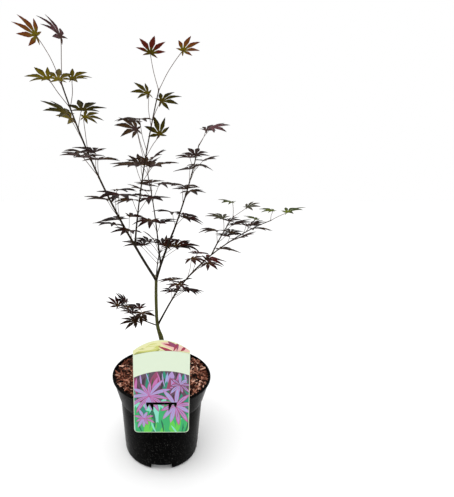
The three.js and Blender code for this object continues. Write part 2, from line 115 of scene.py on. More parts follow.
@dataclass(frozen=True)
class Finish:
    """A dull surface with fine relief, as the plainest of the plant's materials have."""

    name: str
    colour: str
    roughness: float = 0.6
    roughness_spread: float = 0.1
    specular: float = 0.5
    ior: float = 1.5
    grain: float = 2.0  # size of the relief's grains
    relief: float = 0.1  # height of the relief
    worn_patch: float = 6.0  # size of a patch that is more or less rough, in grains
    noise_span: Span = (0.3, 0.7)  # values between which a noise mostly stays

    def noise_at(self, tree: Tree, size: float, stretch: float = 1.0, **inputs: float) -> Socket:
        """Add a noise over the piece's own coordinates.

        Args:
            tree: the material's node tree.
            size: size of one grain across.
            stretch: how many times longer a grain is upwards.
            **inputs: further inputs of the noise.

        Returns:
            The noise's value.
        """
        place = add_node(tree, "ShaderNodeTexCoord").outputs["Object"]
        drawn_out = {"Vector": place, "Scale": (1.0, 1.0, 1.0 / stretch)}
        place = add_node(tree, "ShaderNodeMapping", drawn_out).outputs["Vector"]
        grains = {"Vector": place, "Scale": 1.0 / (size * MM), **inputs}
        return add_node(tree, "ShaderNodeTexNoise", grains).outputs["Fac"]

    def laid_over(
        self, tree: Tree, under: Colour | Socket, over: str, pattern: Socket, levels: Span,
        most: float | Socket = 1.0,
    ) -> Socket:
        """Lay one colour over another where a pattern is strong.

        Args:
            tree: the material's node tree.
            under: the colour below.
            over: the colour laid over it, as hex digits.
            pattern: the pattern.
            levels: its values where the colour over it begins and is full.
            most: how much of that colour shows where it is full.

        Returns:
            The two colours in one.
        """
        share = {"Value": pattern, "From Min": levels[0], "From Max": levels[1], "To Max": most}
        amount = add_node(tree, "ShaderNodeMapRange", share).outputs["Result"]
        colours = {"Factor": amount, MIX_UNDER: under, MIX_OVER: linear(over)}
        return add_node(tree, "ShaderNodeMix", colours, data_type="RGBA").outputs[MIX_COLOUR]

    def colour_source(self, tree: Tree) -> Colour | Socket:
        """Give the base colour, or the pattern that it comes from."""
        return linear(self.colour)

    def height_source(self, tree: Tree) -> Socket:
        """Give the pattern of the relief."""
        return self.noise_at(tree, self.grain, Detail=4.0, Roughness=0.6)

    def material(self) -> bpy.types.Material:
        """Build the material.

        Returns:
            The material, named for the finish.
        """
        material = bpy.data.materials.new(self.name)
        material.use_nodes = True
        tree = material.node_tree
        tree.nodes.clear()
        wear = {
            "Value": self.noise_at(tree, self.worn_patch * self.grain, Detail=3.0),
            "From Min": self.noise_span[0],
            "From Max": self.noise_span[1],
            "To Min": self.roughness - self.roughness_spread,
            "To Max": self.roughness + self.roughness_spread,
        }
        bump = {"Height": self.height_source(tree), "Distance": self.relief * MM}
        surface = {
            "Base Color": self.colour_source(tree),
            "Roughness": add_node(tree, "ShaderNodeMapRange", wear).outputs["Result"],
            "IOR": self.ior,
            "Specular IOR Level": self.specular,
            "Normal": add_node(tree, "ShaderNodeBump", bump).outputs["Normal"],
        }
        shader = add_node(tree, "ShaderNodeBsdfPrincipled", surface)
        add_node(tree, "ShaderNodeOutputMaterial", {"Surface": shader.outputs["BSDF"]})
        material.diffuse_color = linear(self.colour)
        return material


@dataclass(frozen=True)
class BlownPolypropylene(Finish):
    """Black nursery pot plastic: waxy, nearly black head on and grey where it turns away."""

    name: str = "blown_polypropylene"
    colour: str = "#010101"
    roughness: float = 0.27
    roughness_spread: float = 0.08
    specular: float = 0.014
    ior: float = 1.49
    grain: float = 9.0  # slow waves of a thin blown wall
    relief: float = 0.35
    scuff: float = 1.2  # width of a rub mark
    scuff_stretch: float = 12.0
    dust: str = "#060606"
    dust_patch: float = 30.0
    dust_levels: Span = (0.27, 0.5)
    # pale grey flecks: partly dust, partly painted glints, thicker towards the pot's foot
    dust_and_glint: str = "#5e5d5b"
    fleck_size: float = 1.4  # width of a pale fleck, partly dust and partly a painted glint
    fleck_stretch: float = 1.6
    fleck_levels: Span = (0.635, 0.715)
    fleck_fade: Span = (20.0, 110.0)  # heights between which the flecks thin out
    least_fleck: float = 0.25

    def colour_source(self, tree: Tree) -> Socket:
        """Give a film of dried soil in upright rubs and runs, with a few pale flecks on it: partly dust and
        partly painted glints, thicker towards the foot.

        Args:
            tree: the material's node tree.

        Returns:
            The colour.
        """
        runs = self.noise_at(tree, self.scuff, self.scuff_stretch, Detail=4.0, Roughness=0.7)
        patches = self.noise_at(tree, self.dust_patch, Detail=2.0)
        film = add_node(tree, "ShaderNodeMath", {0: runs, 1: patches}, operation="MULTIPLY")
        dusty = self.laid_over(
            tree, linear(self.colour), self.dust, film.outputs["Value"], self.dust_levels
        )
        # the pale flecks, partly dust and partly painted glints, thin out upwards from the foot
        grains = self.noise_at(tree, self.fleck_size, self.fleck_stretch, Detail=2.0, Roughness=0.7)
        place = add_node(tree, "ShaderNodeTexCoord").outputs["Object"]
        low, high = (level * MM for level in self.fleck_fade)
        fall = {
            "Value": add_node(tree, "ShaderNodeSeparateXYZ", {"Vector": place}).outputs["Z"],
            "From Min": low, "From Max": high, "To Min": 1.0, "To Max": self.least_fleck,
        }
        thinned = add_node(tree, "ShaderNodeMapRange", fall).outputs["Result"]
        return self.laid_over(tree, dusty, self.dust_and_glint, grains, self.fleck_levels, thinned)


@dataclass(frozen=True)
class Bark(Finish):
    """Thin living bark: satin, with long streaks of a second colour and small pale pores."""

    second: str = "#3c3325"
    pore: str = "#8d8468"
    streak: float = 1.6  # width of a streak
    streak_stretch: float = 7.0
    streak_levels: Span = (0.38, 0.62)
    pore_size: float = 0.8
    pore_stretch: float = 0.6
    pore_levels: Span = (0.66, 0.72)
    grain: float = 0.9
    crack_stretch: float = 5.0
    relief: float = 0.16
    roughness: float = 0.55
    specular: float = 0.05

    def colour_source(self, tree: Tree) -> Socket:
        """Give lengthwise streaks with pores over them.

        Args:
            tree: the material's node tree.

        Returns:
            The colour.
        """
        streaks = self.noise_at(tree, self.streak, self.streak_stretch, Detail=4.0, Roughness=0.65)
        streaked = self.laid_over(tree, linear(self.colour), self.second, streaks, self.streak_levels)
        pores = self.noise_at(tree, self.pore_size, self.pore_stretch, Detail=1.0)
        return self.laid_over(tree, streaked, self.pore, pores, self.pore_levels)

    def height_source(self, tree: Tree) -> Socket:
        """Give fine lengthwise cracks."""
        return self.noise_at(tree, self.grain, self.crack_stretch, Detail=5.0, Roughness=0.65)


@dataclass(frozen=True)
class LeafSkin(Finish):
    """Leaf surface: a dull waxy skin in one plain colour, puckered between its fine veins."""

    roughness: float = 0.5
    roughness_spread: float = 0.08
    specular: float = 0.04
    grain: float = 1.3
    relief: float = 0.14


@dataclass(frozen=True)
class PrintedCard(Finish):
    """Ink on coated card: flat colour under a smooth varnish that shows only as a soft gloss."""

    roughness: float = 0.32
    roughness_spread: float = 0.04
    specular: float = 0.35
    grain: float = 1.5
    relief: float = 0.01


@dataclass(frozen=True)
class BarkMulch(Finish):
    """Milled pine bark: rough and fibrous, dull except where a fresh split face shows."""

    roughness: float = 0.85
    specular: float = 0.1
    grain: float = 1.1
    fibre_stretch: float = 2.0
    relief: float = 0.3

    def height_source(self, tree: Tree) -> Socket:
        """Give coarse fibres."""
        return self.noise_at(tree, self.grain, self.fibre_stretch, Detail=6.0, Roughness=0.7)


@lru_cache(maxsize=None)
def material_of(finish: Finish) -> bpy.types.Material:
    """Give the one material of a finish, built on its first use."""
    return finish.material()


# Seeded numbers, lines and forms


class Draws:
    """Seeded numbers, the same on every run and drawn by the same rule as the frame's own."""

    FACTOR, STEP, RANGE = 1664525, 1013904223, 2**32

    def __init__(self, seed: int) -> None:
        """Start the row of numbers at a seed."""
        self.state = seed

    def share(self) -> float:
        """Draw a number from 0 to 1."""
        self.state = (self.state * self.FACTOR + self.STEP) % self.RANGE
        return self.state / self.RANGE

    def vary(self, reach: float) -> float:
        """Draw a number up to a reach either side of nought."""
        return (2.0 * self.share() - 1.0) * reach

    def between(self, low: float, high: float) -> float:
        """Draw a number between two others."""
        return low + (high - low) * self.share()


def lerp(start: float, end: float, share: float) -> float:
    """Go a share of the way from one number to another."""
    return start + (end - start) * share


def smooth(share: float) -> float:
    """Ease a share in and out, and keep it from 0 to 1."""
    share = min(max(share, 0.0), 1.0)
    return share * share * (3.0 - 2.0 * share)


def direction(heading: float, lean: float) -> Vector:
    """Give the unit vector with a compass heading in plan and a lean from upright."""
    around, down = math.radians(heading), math.radians(lean)
    return Vector((math.sin(down) * math.cos(around), math.sin(down) * math.sin(around), math.cos(down)))


def path_at(points: Sequence[Vector], share: float) -> tuple[Vector, Vector]:
    """Find a place on a path.

    Args:
        points: the path's points, evenly spaced.
        share: how far along it the place is, from 0 to 1.

    Returns:
        The place, and the path's direction there.
    """
    last = len(points) - 1
    i = min(int(share * last), last - 1)
    start, end = points[i], points[i + 1]
    return start.lerp(end, share * last - i), (end - start).normalized()


def smooth_line(points: Sequence[Vector], steps: int) -> list[Vector]:
    """Run one smooth curve through points, evenly spaced along its length.

    Args:
        points: the points that it passes through.
        steps: number of stretches between the points that it returns.

    Returns:
        One point more than steps.
    """
    before = points[0] * 2.0 - points[1]
    after = points[-1] * 2.0 - points[-2]
    held = [before, *points, after]
    dense = [points[0].copy()]
    for p0, p1, p2, p3 in zip(held, held[1:], held[2:], held[3:]):
        d0, d1, d2 = (max((b - a).length, TINY) ** 0.5 for a, b in ((p0, p1), (p1, p2), (p2, p3)))
        t1 = ((p1 - p0) / d0 - (p2 - p0) / (d0 + d1) + (p2 - p1) / d1) * d1
        t2 = ((p2 - p1) / d1 - (p3 - p1) / (d1 + d2) + (p3 - p2) / d2) * d1
        for k in range(1, CURVE_STEPS + 1):
            t = k / CURVE_STEPS
            dense.append(
                p1
                + t1 * t
                + (p1 * -3.0 + p2 * 3.0 - t1 * 2.0 - t2) * t**2
                + (p1 * 2.0 - p2 * 2.0 + t1 + t2) * t**3
            )
    array = np.array(dense)
    reach = np.concatenate([[0.0], np.cumsum(np.linalg.norm(np.diff(array, axis=0), axis=1))])
    even = np.linspace(0.0, reach[-1], steps + 1)
    columns = [np.interp(even, reach, array[:, axis]) for axis in range(3)]
    return [Vector(place) for place in zip(*columns)]


@dataclass(frozen=True)
class Form:
    """The points and faces of a small shape, with the number of a zone for each face."""

    points: np.ndarray
    faces: tuple[tuple[int, ...], ...]
    zones: tuple[int, ...]

    @classmethod
    def of(cls, form: BMesh) -> "Form":
        """Take the shape out of a bmesh, which is then freed.

        Args:
            form: the bmesh, whose material numbers are the zones.

        Returns:
            The shape.
        """
        form.verts.index_update()
        points = np.array([vert.co[:] for vert in form.verts])
        faces = tuple(tuple(vert.index for vert in face.verts) for face in form.faces)
        zones = tuple(face.material_index for face in form.faces)
        form.free()
        return cls(points, faces, zones)


class Heap:
    """Many small shapes gathered into one mesh."""

    def __init__(self) -> None:
        """Start with nothing."""
        self.points: list[np.ndarray] = []
        self.faces: list[tuple[int, ...]] = []
        self.finishes: list[Finish] = []
        self.count = 0

    def add(self, points: np.ndarray, form: Form, coat: Sequence[Finish]) -> None:
        """Add a shape.

        Args:
            points: where its points are.
            form: the shape whose faces join them.
            coat: the finish of each of its zones.
        """
        self.points.append(points)
        self.faces.extend(tuple(i + self.count for i in face) for face in form.faces)
        self.finishes.extend(coat[zone] for zone in form.zones)
        self.count += len(points)

    def mesh(self, name: str) -> Mesh:
        """Build the mesh, in metres.

        Args:
            name: the mesh's name.

        Returns:
            The mesh, with a slot for each finish in it.
        """
        mesh = bpy.data.meshes.new(name)
        mesh.from_pydata((np.concatenate(self.points) * MM).tolist(), [], self.faces)
        palette = list(dict.fromkeys(self.finishes))
        for finish in palette:
            mesh.materials.append(material_of(finish))
        number = {finish: i for i, finish in enumerate(palette)}
        mesh.polygons.foreach_set("material_index", [number[finish] for finish in self.finishes])
        mesh.shade_smooth()
        mesh.validate()
        return mesh


def mesh_of(form: BMesh, name: str, palette: Sequence[Finish], crease: float = CREASE) -> Mesh:
    """Turn a bmesh in millimetres to a mesh in metres, and free it.

    Args:
        form: the bmesh, whose material numbers are places in the palette.
        name: the mesh's name.
        palette: the finishes.
        crease: angle from which an edge stays sharp.

    Returns:
        The mesh.
    """
    bmesh.ops.scale(form, vec=(MM, MM, MM), verts=form.verts)
    mesh = bpy.data.meshes.new(name)
    form.to_mesh(mesh)
    form.free()
    for finish in palette:
        mesh.materials.append(material_of(finish))
    mesh.shade_smooth()
    mesh.set_sharp_from_angle(angle=math.radians(crease))
    return mesh


def cut_away(mesh: Mesh, cutter: Mesh) -> Mesh:
    """Take solids out of a mesh.

    Args:
        mesh: the mesh that is cut.
        cutter: the solids that are taken out of it.

    Returns:
        The cut mesh.
    """
    whole, knife = (bpy.data.objects.new(name, data) for name, data in (("whole", mesh), ("knife", cutter)))
    for item in (whole, knife):
        bpy.context.scene.collection.objects.link(item)
    cut = whole.modifiers.new("cut", "BOOLEAN")
    cut.operation = "DIFFERENCE"
    cut.solver = "EXACT"
    cut.object = knife
    evaluated = whole.evaluated_get(bpy.context.evaluated_depsgraph_get())
    result = bpy.data.meshes.new_from_object(evaluated)
    result.name = mesh.name + "_cut"
    for item in (whole, knife):
        bpy.data.objects.remove(item)
    result.set_sharp_from_angle(angle=math.radians(CREASE))
    return result


def set_piece(name: str, mesh: Mesh, slot: str, *nodes: str) -> bpy.types.Object:
    """Put a finished mesh on the part and report it.

    Args:
        name: the piece's name.
        mesh: its mesh, in metres and in the part's own frame.
        slot: the record's material slot that it stands for; not used.
        *nodes: the frame's nodes that it takes the place of.

    Returns:
        The piece.
    """
    piece = bpy.data.objects.new(name, mesh)
    bpy.context.scene.collection.objects.link(piece)
    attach(piece, "root")
    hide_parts(*nodes)
    LOG.info("%s: %d faces, for %s", name, len(mesh.polygons), ", ".join(nodes))
    return piece


def softened(corners: Sequence[tuple[float, float, float]], pieces: int = 4) -> Outline:
    """Round the corners of a line.

    Args:
        corners: across, up, and how far back from the corner its rounding starts.
        pieces: number of stretches in one rounding.

    Returns:
        The rounded line.
    """
    line: Outline = []
    for i, (x, z, reach) in enumerate(corners):
        if reach == 0.0:
            line.append((x, z))
            continue
        here = Vector((x, z))
        back = here + (Vector(corners[i - 1][:2]) - here).normalized() * reach
        ahead = here + (Vector(corners[(i + 1) % len(corners)][:2]) - here).normalized() * reach
        for k in range(pieces + 1):
            t = k / pieces
            line.append(tuple(back.lerp(here, t).lerp(here.lerp(ahead, t), t)))
    return line


def turned(profile: Outline, steps: int) -> BMesh:
    """Turn a profile of radius and height about the upright axis.

    Args:
        profile: the profile, from the axis round to the axis.
        steps: number of faces round it.

    Returns:
        The closed shape.
    """
    form = bmesh.new()
    verts = [form.verts.new((radius, 0.0, height)) for radius, height in profile]
    edges = [form.edges.new(pair) for pair in zip(verts, verts[1:])]
    bmesh.ops.spin(
        form, geom=[*verts, *edges], cent=(0, 0, 0), axis=(0, 0, 1), angle=math.tau, steps=steps,
        use_merge=True,
    )
    bmesh.ops.remove_doubles(form, verts=form.verts, dist=SAME_PLACE)
    bmesh.ops.recalc_face_normals(form, faces=form.faces)
    return form


@lru_cache(maxsize=None)
def rod_form(sides: int, steps: int) -> Form:
    """Make a straight capped rod of unit radius with a ring at each whole height.

    Args:
        sides: number of faces round it.
        steps: number of stretches along it.

    Returns:
        The rod.
    """
    form = bmesh.new()
    bmesh.ops.create_cone(
        form, cap_ends=True, cap_tris=False, segments=sides, radius1=1.0, radius2=1.0, depth=steps
    )
    uprights = [edge for edge in form.edges if abs(edge.verts[0].co.z - edge.verts[1].co.z) > 0.5]
    bmesh.ops.subdivide_edges(form, edges=uprights, cuts=steps - 1, use_grid_fill=True)
    bmesh.ops.translate(form, vec=(0, 0, steps / 2), verts=form.verts)
    bmesh.ops.recalc_face_normals(form, faces=form.faces)
    return Form.of(form)


def bent_rod(
    line: Sequence[Vector], sides: int, radius_at: Callable[[float, float], float]
) -> tuple[np.ndarray, Form]:
    """Bend a rod along a line.

    Args:
        line: the rod's centre line.
        sides: number of faces round it.
        radius_at: gives the radius for a share of the length and an angle round the rod.

    Returns:
        The rod's points, and the form whose faces join them.
    """
    steps = len(line) - 1
    form = rod_form(sides, steps)
    across = Vector((1.0, 0.0, 0.0))
    places = []
    for i, place in enumerate(line):
        tangent = (line[min(i + 1, steps)] - line[max(i - 1, 0)]).normalized()
        across = (across - tangent * across.dot(tangent)).normalized()
        places.append((place, across.copy(), tangent.cross(across)))
    centres, acrosses, sidewards = (np.array(column) for column in zip(*places))
    rings = np.rint(form.points[:, 2]).astype(int)
    angles = np.arctan2(form.points[:, 1], form.points[:, 0])
    radii = np.array([radius_at(ring / steps, angle) for ring, angle in zip(rings, angles)])
    outward = acrosses[rings] * np.cos(angles)[:, None] + sidewards[rings] * np.sin(angles)[:, None]
    return centres[rings] + outward * radii[:, None], form


RIDGE_STRETCH = 0.8  # how far ridges are drawn out along a limb, 1 for endless ones
FINE_SCALE, FINE_SHARE = 2.3, 0.5  # the finer ridges between them: how much finer, and how high


def roughened(points: np.ndarray, line: Sequence[Vector], depth: float, grain: float) -> np.ndarray:
    """Raise and sink a rod's skin in lengthwise ridges.

    Args:
        points: the rod's points.
        line: its centre line.
        depth: greatest rise or fall.
        grain: width of a ridge.

    Returns:
        The points with the relief.
    """
    centres = np.array(line)
    long_axis = np.array(((line[-1] - line[0]).normalized())[:])
    moved = []
    for point in points:
        nearest = centres[np.argmin(np.sum((centres - point) ** 2, axis=1))]
        outward = point - nearest
        length = max(float(np.linalg.norm(outward)), TINY)
        stretched = point / grain - long_axis * float(point @ long_axis) / grain * RIDGE_STRETCH
        rise = noise.noise(Vector(stretched))
        rise += FINE_SHARE * noise.noise(Vector(stretched * FINE_SCALE))
        moved.append(point + outward / length * rise * depth)
    return np.array(moved)


def aimed(points: np.ndarray, place: Vector, aim: Vector, size: Vector) -> np.ndarray:
    """Size a shape, point its upward axis along a direction and set it in place.

    Args:
        points: the shape's points about the origin.
        place: where its origin goes.
        aim: where its upward axis points.
        size: its size along each of its own axes.

    Returns:
        The placed points.
    """
    turn = np.array(aim.to_track_quat("Z", "Y").to_matrix())
    return (points * np.array(size[:])) @ turn.T + np.array(place[:])


# Pot


@dataclass
class NurseryPot:
    """A thin-walled round pot with a lip, a tapered collar and a notched standing ring."""

    height: float = 154.0
    rim_radius: float = 95.0
    lip_height: float = 4.0
    lip_round: float = 1.1
    collar_top: float = 93.2
    collar_bottom: float = 82.3
    collar_depth: float = 43.0
    collar_edge: float = 1.5
    step_height: float = 4.0
    body_top: float = 79.5
    body_bottom: float = 72.0
    edge_round: float = 6.0
    foot_round: float = 0.5
    step_round: float = 1.2
    collar_rounds: tuple[float, float] = (0.4, 1.0)  # under and over its lower edge
    lip_root_round: float = 0.7
    mouth_round: float = 0.8
    wall: float = 1.8
    floor: float = 13.5
    inner_round: float = 2.0
    pad_radius: float = 44.0
    foot_inner: float = 57.0
    foot_outer: float = 66.0
    foot_taper: float = 1.0
    recess: float = 3.5
    notch_width: float = 38.0
    notch_height: float = 11.5
    notch_margin: float = 5.0
    notches: int = 4
    drain_radius: float = 50.5
    drain_hole: float = 4.0
    drains: int = 6
    drain_sides: int = 24
    steps: int = 160

    def inner_corners(self, clearance: float) -> list[tuple[float, float, float]]:
        """Give the inside of the shell from under the lip to the floor.

        Args:
            clearance: how much further in the line runs.

        Returns:
            Radius, height and rounding of each corner.
        """
        inset = self.wall + clearance
        collar_foot = self.height - self.collar_depth
        return [
            (self.collar_top - inset, self.height - self.lip_height, 0.0),
            (self.collar_bottom - inset, collar_foot + self.collar_edge, 0.0),
            (self.body_top - inset, collar_foot - self.step_height, 0.0),
            (self.body_bottom - inset, self.floor + self.inner_round, 0.0),
            (self.body_bottom - inset - self.inner_round, self.floor + clearance, 0.0),
            (0.0, self.floor + clearance, 0.0),
        ]

    def profile(self) -> Outline:
        """Give the shell's whole section, from the middle of its underside to that of its floor.

        Returns:
            The section, as radius and height.
        """
        collar_foot = self.height - self.collar_depth
        lip_foot = self.height - self.lip_height
        corners = [
            (0.0, 0.0, 0.0),
            (self.pad_radius, 0.0, self.foot_round),
            (self.pad_radius + self.foot_taper, self.recess, self.foot_round),
            (self.foot_inner - self.foot_taper, self.recess, self.foot_round),
            (self.foot_inner, 0.0, self.foot_round),
            (self.foot_outer, 0.0, 0.0),
            (self.body_bottom, 0.0, self.edge_round),
            (self.body_top, collar_foot - self.step_height, self.step_round),
            (self.collar_bottom - self.collar_edge, collar_foot, self.collar_rounds[0]),
            (self.collar_bottom, collar_foot + self.collar_edge, self.collar_rounds[1]),
            (self.collar_top, lip_foot, self.lip_root_round),
            (self.rim_radius, lip_foot, self.lip_round),
            (self.rim_radius, self.height, self.lip_round),
            (self.collar_top - self.wall, self.height, self.mouth_round),
        ]
        return softened([*corners, *self.inner_corners(0.0)])[:-1] + [(0.0, self.floor)]

    def cutters(self) -> Mesh:
        """Make the solids of the ring's notches and the drain holes.

        Returns:
            One mesh of them all.
        """
        form = bmesh.new()
        inner = self.foot_inner - self.foot_taper
        reach = self.body_bottom + self.notch_margin - inner
        for i in range(self.notches):
            block = bmesh.ops.create_cube(form, size=1.0)["verts"]
            bmesh.ops.scale(form, vec=(reach, self.notch_width, 2 * self.notch_height), verts=block)
            bmesh.ops.translate(form, vec=(inner + reach / 2, 0, 0), verts=block)
            turn = Matrix.Rotation(math.tau * i / self.notches - math.pi / 2, 3, "Z")
            bmesh.ops.rotate(form, cent=(0, 0, 0), matrix=turn, verts=block)
        for i in range(self.drains):
            hole = bmesh.ops.create_cone(
                form, cap_ends=True, segments=self.drain_sides, radius1=self.drain_hole,
                radius2=self.drain_hole, depth=2 * self.floor,
            )["verts"]
            bmesh.ops.translate(form, vec=(self.drain_radius, 0, self.floor), verts=hole)
            turn = Matrix.Rotation(math.tau * (i + 0.5) / self.drains, 3, "Z")
            bmesh.ops.rotate(form, cent=(0, 0, 0), matrix=turn, verts=hole)
        return mesh_of(form, "pot_cutters", [BlownPolypropylene()])

    def build(self) -> None:
        """Make the shell and set it in place of its node."""
        shell = mesh_of(turned(self.profile(), self.steps), "pot_shell", [BlownPolypropylene()])
        set_piece("pot_shell", cut_away(shell, self.cutters()), "black_plastic", "pot")


# Mulch


CHIP_TONES = {
    BarkMulch("mulch_charred", "#150805"): 0.22,
    BarkMulch("mulch_dark", "#361a11"): 0.22,
    BarkMulch("mulch_brown", "#683828"): 0.19,
    BarkMulch("mulch_red_brown", "#8c5542"): 0.17,
    BarkMulch("mulch_tan", "#b67c66", roughness=0.7): 0.12,
    # the palest chips: partly pale split faces, partly a painted highlight dealt to whole chips
    BarkMulch("mulch_split_face_and_highlight", "#deb09a", roughness=0.6): 0.08,
}


@dataclass
class Mulch:
    """The potting soil, which fills the pot, and the bark chips that lie on it."""

    pot: NurseryPot
    edge_drop: float = 4.5
    crown_drop: float = 4.7
    crown_radius: float = 30.0
    shoulder_share: float = 0.8
    shoulder_rise: float = 1.0
    bed_steps: int = 96
    bed_rings: int = 26
    bed_relief: float = 1.2
    crumb: float = 5.0  # width of a crumb of the bed
    calm_edge: tuple[float, float] = (1.0, 0.5)  # how far from the wall and down it the bed is even
    chips: int = 2300
    chip_kinds: int = 9
    chip_cuts: int = 3
    chip_curl: tuple[float, float] = (-0.6, 2.2)
    chip_taper: tuple[float, float] = (0.2, 0.8)
    chip_skew: float = 0.6
    chip_torn: tuple[float, float, float] = (0.09, 0.22, 0.35)  # stray of corners along, across, up
    chip_length: tuple[float, float] = (5.0, 24.0)
    chip_width: tuple[float, float] = (1.1, 3.6)
    chip_height: tuple[float, float] = (0.5, 1.5)
    chip_fineness: float = 1.7  # over 1, short chips are the more common
    chip_stoutness: float = 0.45  # greatest width for each unit of length
    chip_inset: float = 0.36  # how far in from the wall a chip stays, for each unit of length
    chip_tilts: tuple[float, float] = (24.0, 50.0)  # along and across
    chip_lift: tuple[float, float] = (0.2, 3.2)  # how high chips lie over the bed
    wall_gap: float = 0.2
    creases: tuple[float, float] = (80.0, 40.0)  # angles at which the bed and the chips are sharp
    seed: int = 41

    def edge(self) -> tuple[float, float]:
        """Find where the mulch meets the pot's wall.

        Returns:
            The radius and the height.
        """
        top, bottom = self.pot.inner_corners(GAP)[:2]
        height = self.pot.height - self.edge_drop
        return lerp(bottom[0], top[0], (height - bottom[1]) / (top[1] - bottom[1])), height

    def surface(self) -> Outline:
        """Give the line of the soil's top from the wall to the trunk.

        Returns:
            The line, as radius and height.
        """
        radius, height = self.edge()
        crown = self.pot.height - self.crown_drop
        return [
            (radius, height),
            (radius * self.shoulder_share, height + self.shoulder_rise),
            (self.crown_radius, crown),
            (0.0, crown),
        ]

    def height_at(self, radius: float) -> float:
        """Give the height of the soil at a radius."""
        line = sorted(self.surface())
        return float(np.interp(radius, [r for r, _ in line], [z for _, z in line]))

    def bed(self) -> Mesh:
        """Make the soil, with a crumbly top.

        Returns:
            The soil's mesh.
        """
        sides = [(radius, height) for radius, height, _ in reversed(self.pot.inner_corners(GAP)[1:])]
        top_radius = self.edge()[0]
        top = [(r, self.height_at(r)) for r in np.linspace(top_radius, 0.0, self.bed_rings).tolist()]
        form = turned([*sides, *top], self.bed_steps)
        for vert in form.verts:
            upper = vert.co.z > self.edge()[1] - self.calm_edge[1]
            if upper and vert.co.xy.length < top_radius - self.calm_edge[0]:
                vert.co.z += self.bed_relief * noise.noise(vert.co / self.crumb)
        return mesh_of(form, "mulch_bed", [next(iter(CHIP_TONES))], self.creases[0])

    def chip_forms(self, draws: Draws) -> list[Form]:
        """Make a few slivers of bark, bent, tapered and torn in their own ways.

        Args:
            draws: the seeded numbers.

        Returns:
            The slivers, each one unit long, wide and thick.
        """
        forms = []
        for _ in range(self.chip_kinds):
            form = bmesh.new()
            bmesh.ops.create_cube(form, size=1.0)
            long_edges = [e for e in form.edges if abs(e.verts[0].co.x - e.verts[1].co.x) > 0.5]
            bmesh.ops.subdivide_edges(form, edges=long_edges, cuts=self.chip_cuts, use_grid_fill=True)
            curl, taper = draws.between(*self.chip_curl), draws.between(*self.chip_taper)
            skew = draws.vary(self.chip_skew)
            along, across, up = self.chip_torn
            for vert in form.verts:
                x = vert.co.x
                vert.co.y *= 1.0 - taper * abs(x) * 1.4 + draws.vary(across)
                vert.co.x += draws.vary(along)
                vert.co.y += skew * x + 0.5 * curl * x * x
                vert.co.z = vert.co.z * (1.0 + draws.vary(up)) + curl * (x * x - 0.1)
            bmesh.ops.recalc_face_normals(form, faces=form.faces)
            forms.append(Form.of(form))
        return forms

    def pick_tone(self, draws: Draws) -> BarkMulch:
        """Draw one chip's finish.

        Args:
            draws: the seeded numbers.

        Returns:
            One of the tones, by their shares.
        """
        left = draws.share()
        for tone, weight in CHIP_TONES.items():
            left -= weight
            if left < 0.0:
                break
        return tone

    def strewn(self) -> Heap:
        """Scatter the chips over the soil.

        Returns:
            The chips.
        """
        draws = Draws(self.seed)
        forms = self.chip_forms(draws)
        heap = Heap()
        outer = self.edge()[0]
        for i in range(self.chips):
            form = forms[i % len(forms)]
            length = lerp(*self.chip_length, draws.share() ** self.chip_fineness)
            size = np.array([length, draws.between(*self.chip_width), draws.between(*self.chip_height)])
            size[1] = min(size[1], self.chip_stoutness * length)
            reach = (outer - self.chip_inset * length) * math.sqrt(draws.share())
            angle, heading = draws.between(0.0, math.tau), draws.between(0.0, math.tau)
            turn = (
                Matrix.Rotation(heading, 3, "Z")
                @ Matrix.Rotation(math.radians(draws.vary(self.chip_tilts[0])), 3, "Y")
                @ Matrix.Rotation(math.radians(draws.vary(self.chip_tilts[1])), 3, "X")
            )
            height = self.height_at(reach) + draws.between(*self.chip_lift)
            place = np.array([reach * math.cos(angle), reach * math.sin(angle), height])
            points = (form.points * size) @ np.array(turn).T + place
            spill = np.hypot(points[:, 0], points[:, 1]) / (outer - self.wall_gap)
            points[:, :2] /= np.maximum(spill, 1.0)[:, None]
            heap.add(points, form, [self.pick_tone(draws)])
        return heap

    def build(self) -> None:
        """Make the bed and the chips and set them in place of the soil node."""
        set_piece("mulch_bed", self.bed(), "bark_mulch", "soil")
        chips = self.strewn().mesh("mulch_chips")
        chips.set_sharp_from_angle(angle=math.radians(self.creases[1]))
        set_piece("mulch_chips", chips, "bark_mulch", "soil")


# Label card


class Ink(Enum):
    """The card's printed colours."""

    CREAM = PrintedCard("card_cream", "#cedbc4")
    LEMON = PrintedCard("card_lemon_ink", "#d6d5a0")
    LIME = PrintedCard("card_lime_ink", "#bdc069")
    OLIVE = PrintedCard("card_olive_ink", "#9a9e52")
    BLUSH = PrintedCard("card_blush_ink", "#d9b0a6")
    CHERRY = PrintedCard("card_cherry_ink", "#962843")
    ROSE = PrintedCard("card_rose_ink", "#873a5c")
    PINK = PrintedCard("card_pink_ink", "#b4649f")
    ORCHID = PrintedCard("card_orchid_ink", "#a187bd")
    SKY = PrintedCard("card_sky_ink", "#909ecb")
    MAUVE = PrintedCard("card_mauve_ink", "#523c4e")
    DUSK = PrintedCard("card_dusk_ink", "#34202f")
    MOSS = PrintedCard("card_moss_ink", "#3f4836")
    TEAL = PrintedCard("card_teal_ink", "#1a7f66")
    MINT = PrintedCard("card_mint_ink", "#7accb4")
    GREEN = PrintedCard("card_green_ink", "#2ba35f")
    SPRING = PrintedCard("card_spring_ink", "#56c043")
    FOREST = PrintedCard("card_forest_ink", "#0f6346")


@dataclass(frozen=True)
class Flower:
    """A plain star-shaped flower of the printed picture, with long pointed petals."""

    x: float
    z: float
    reach: float
    petals: int  # an odd number, because every second one is laid first
    turn: float
    inks: tuple[Ink, ...]


@dataclass(frozen=True)
class Stroke:
    """A row of pointed brush strokes between two places, about one size and slant."""

    start: Place
    end: Place
    count: int
    heading: float
    swing: float
    reach: float
    half: float
    inks: tuple[Ink, ...]


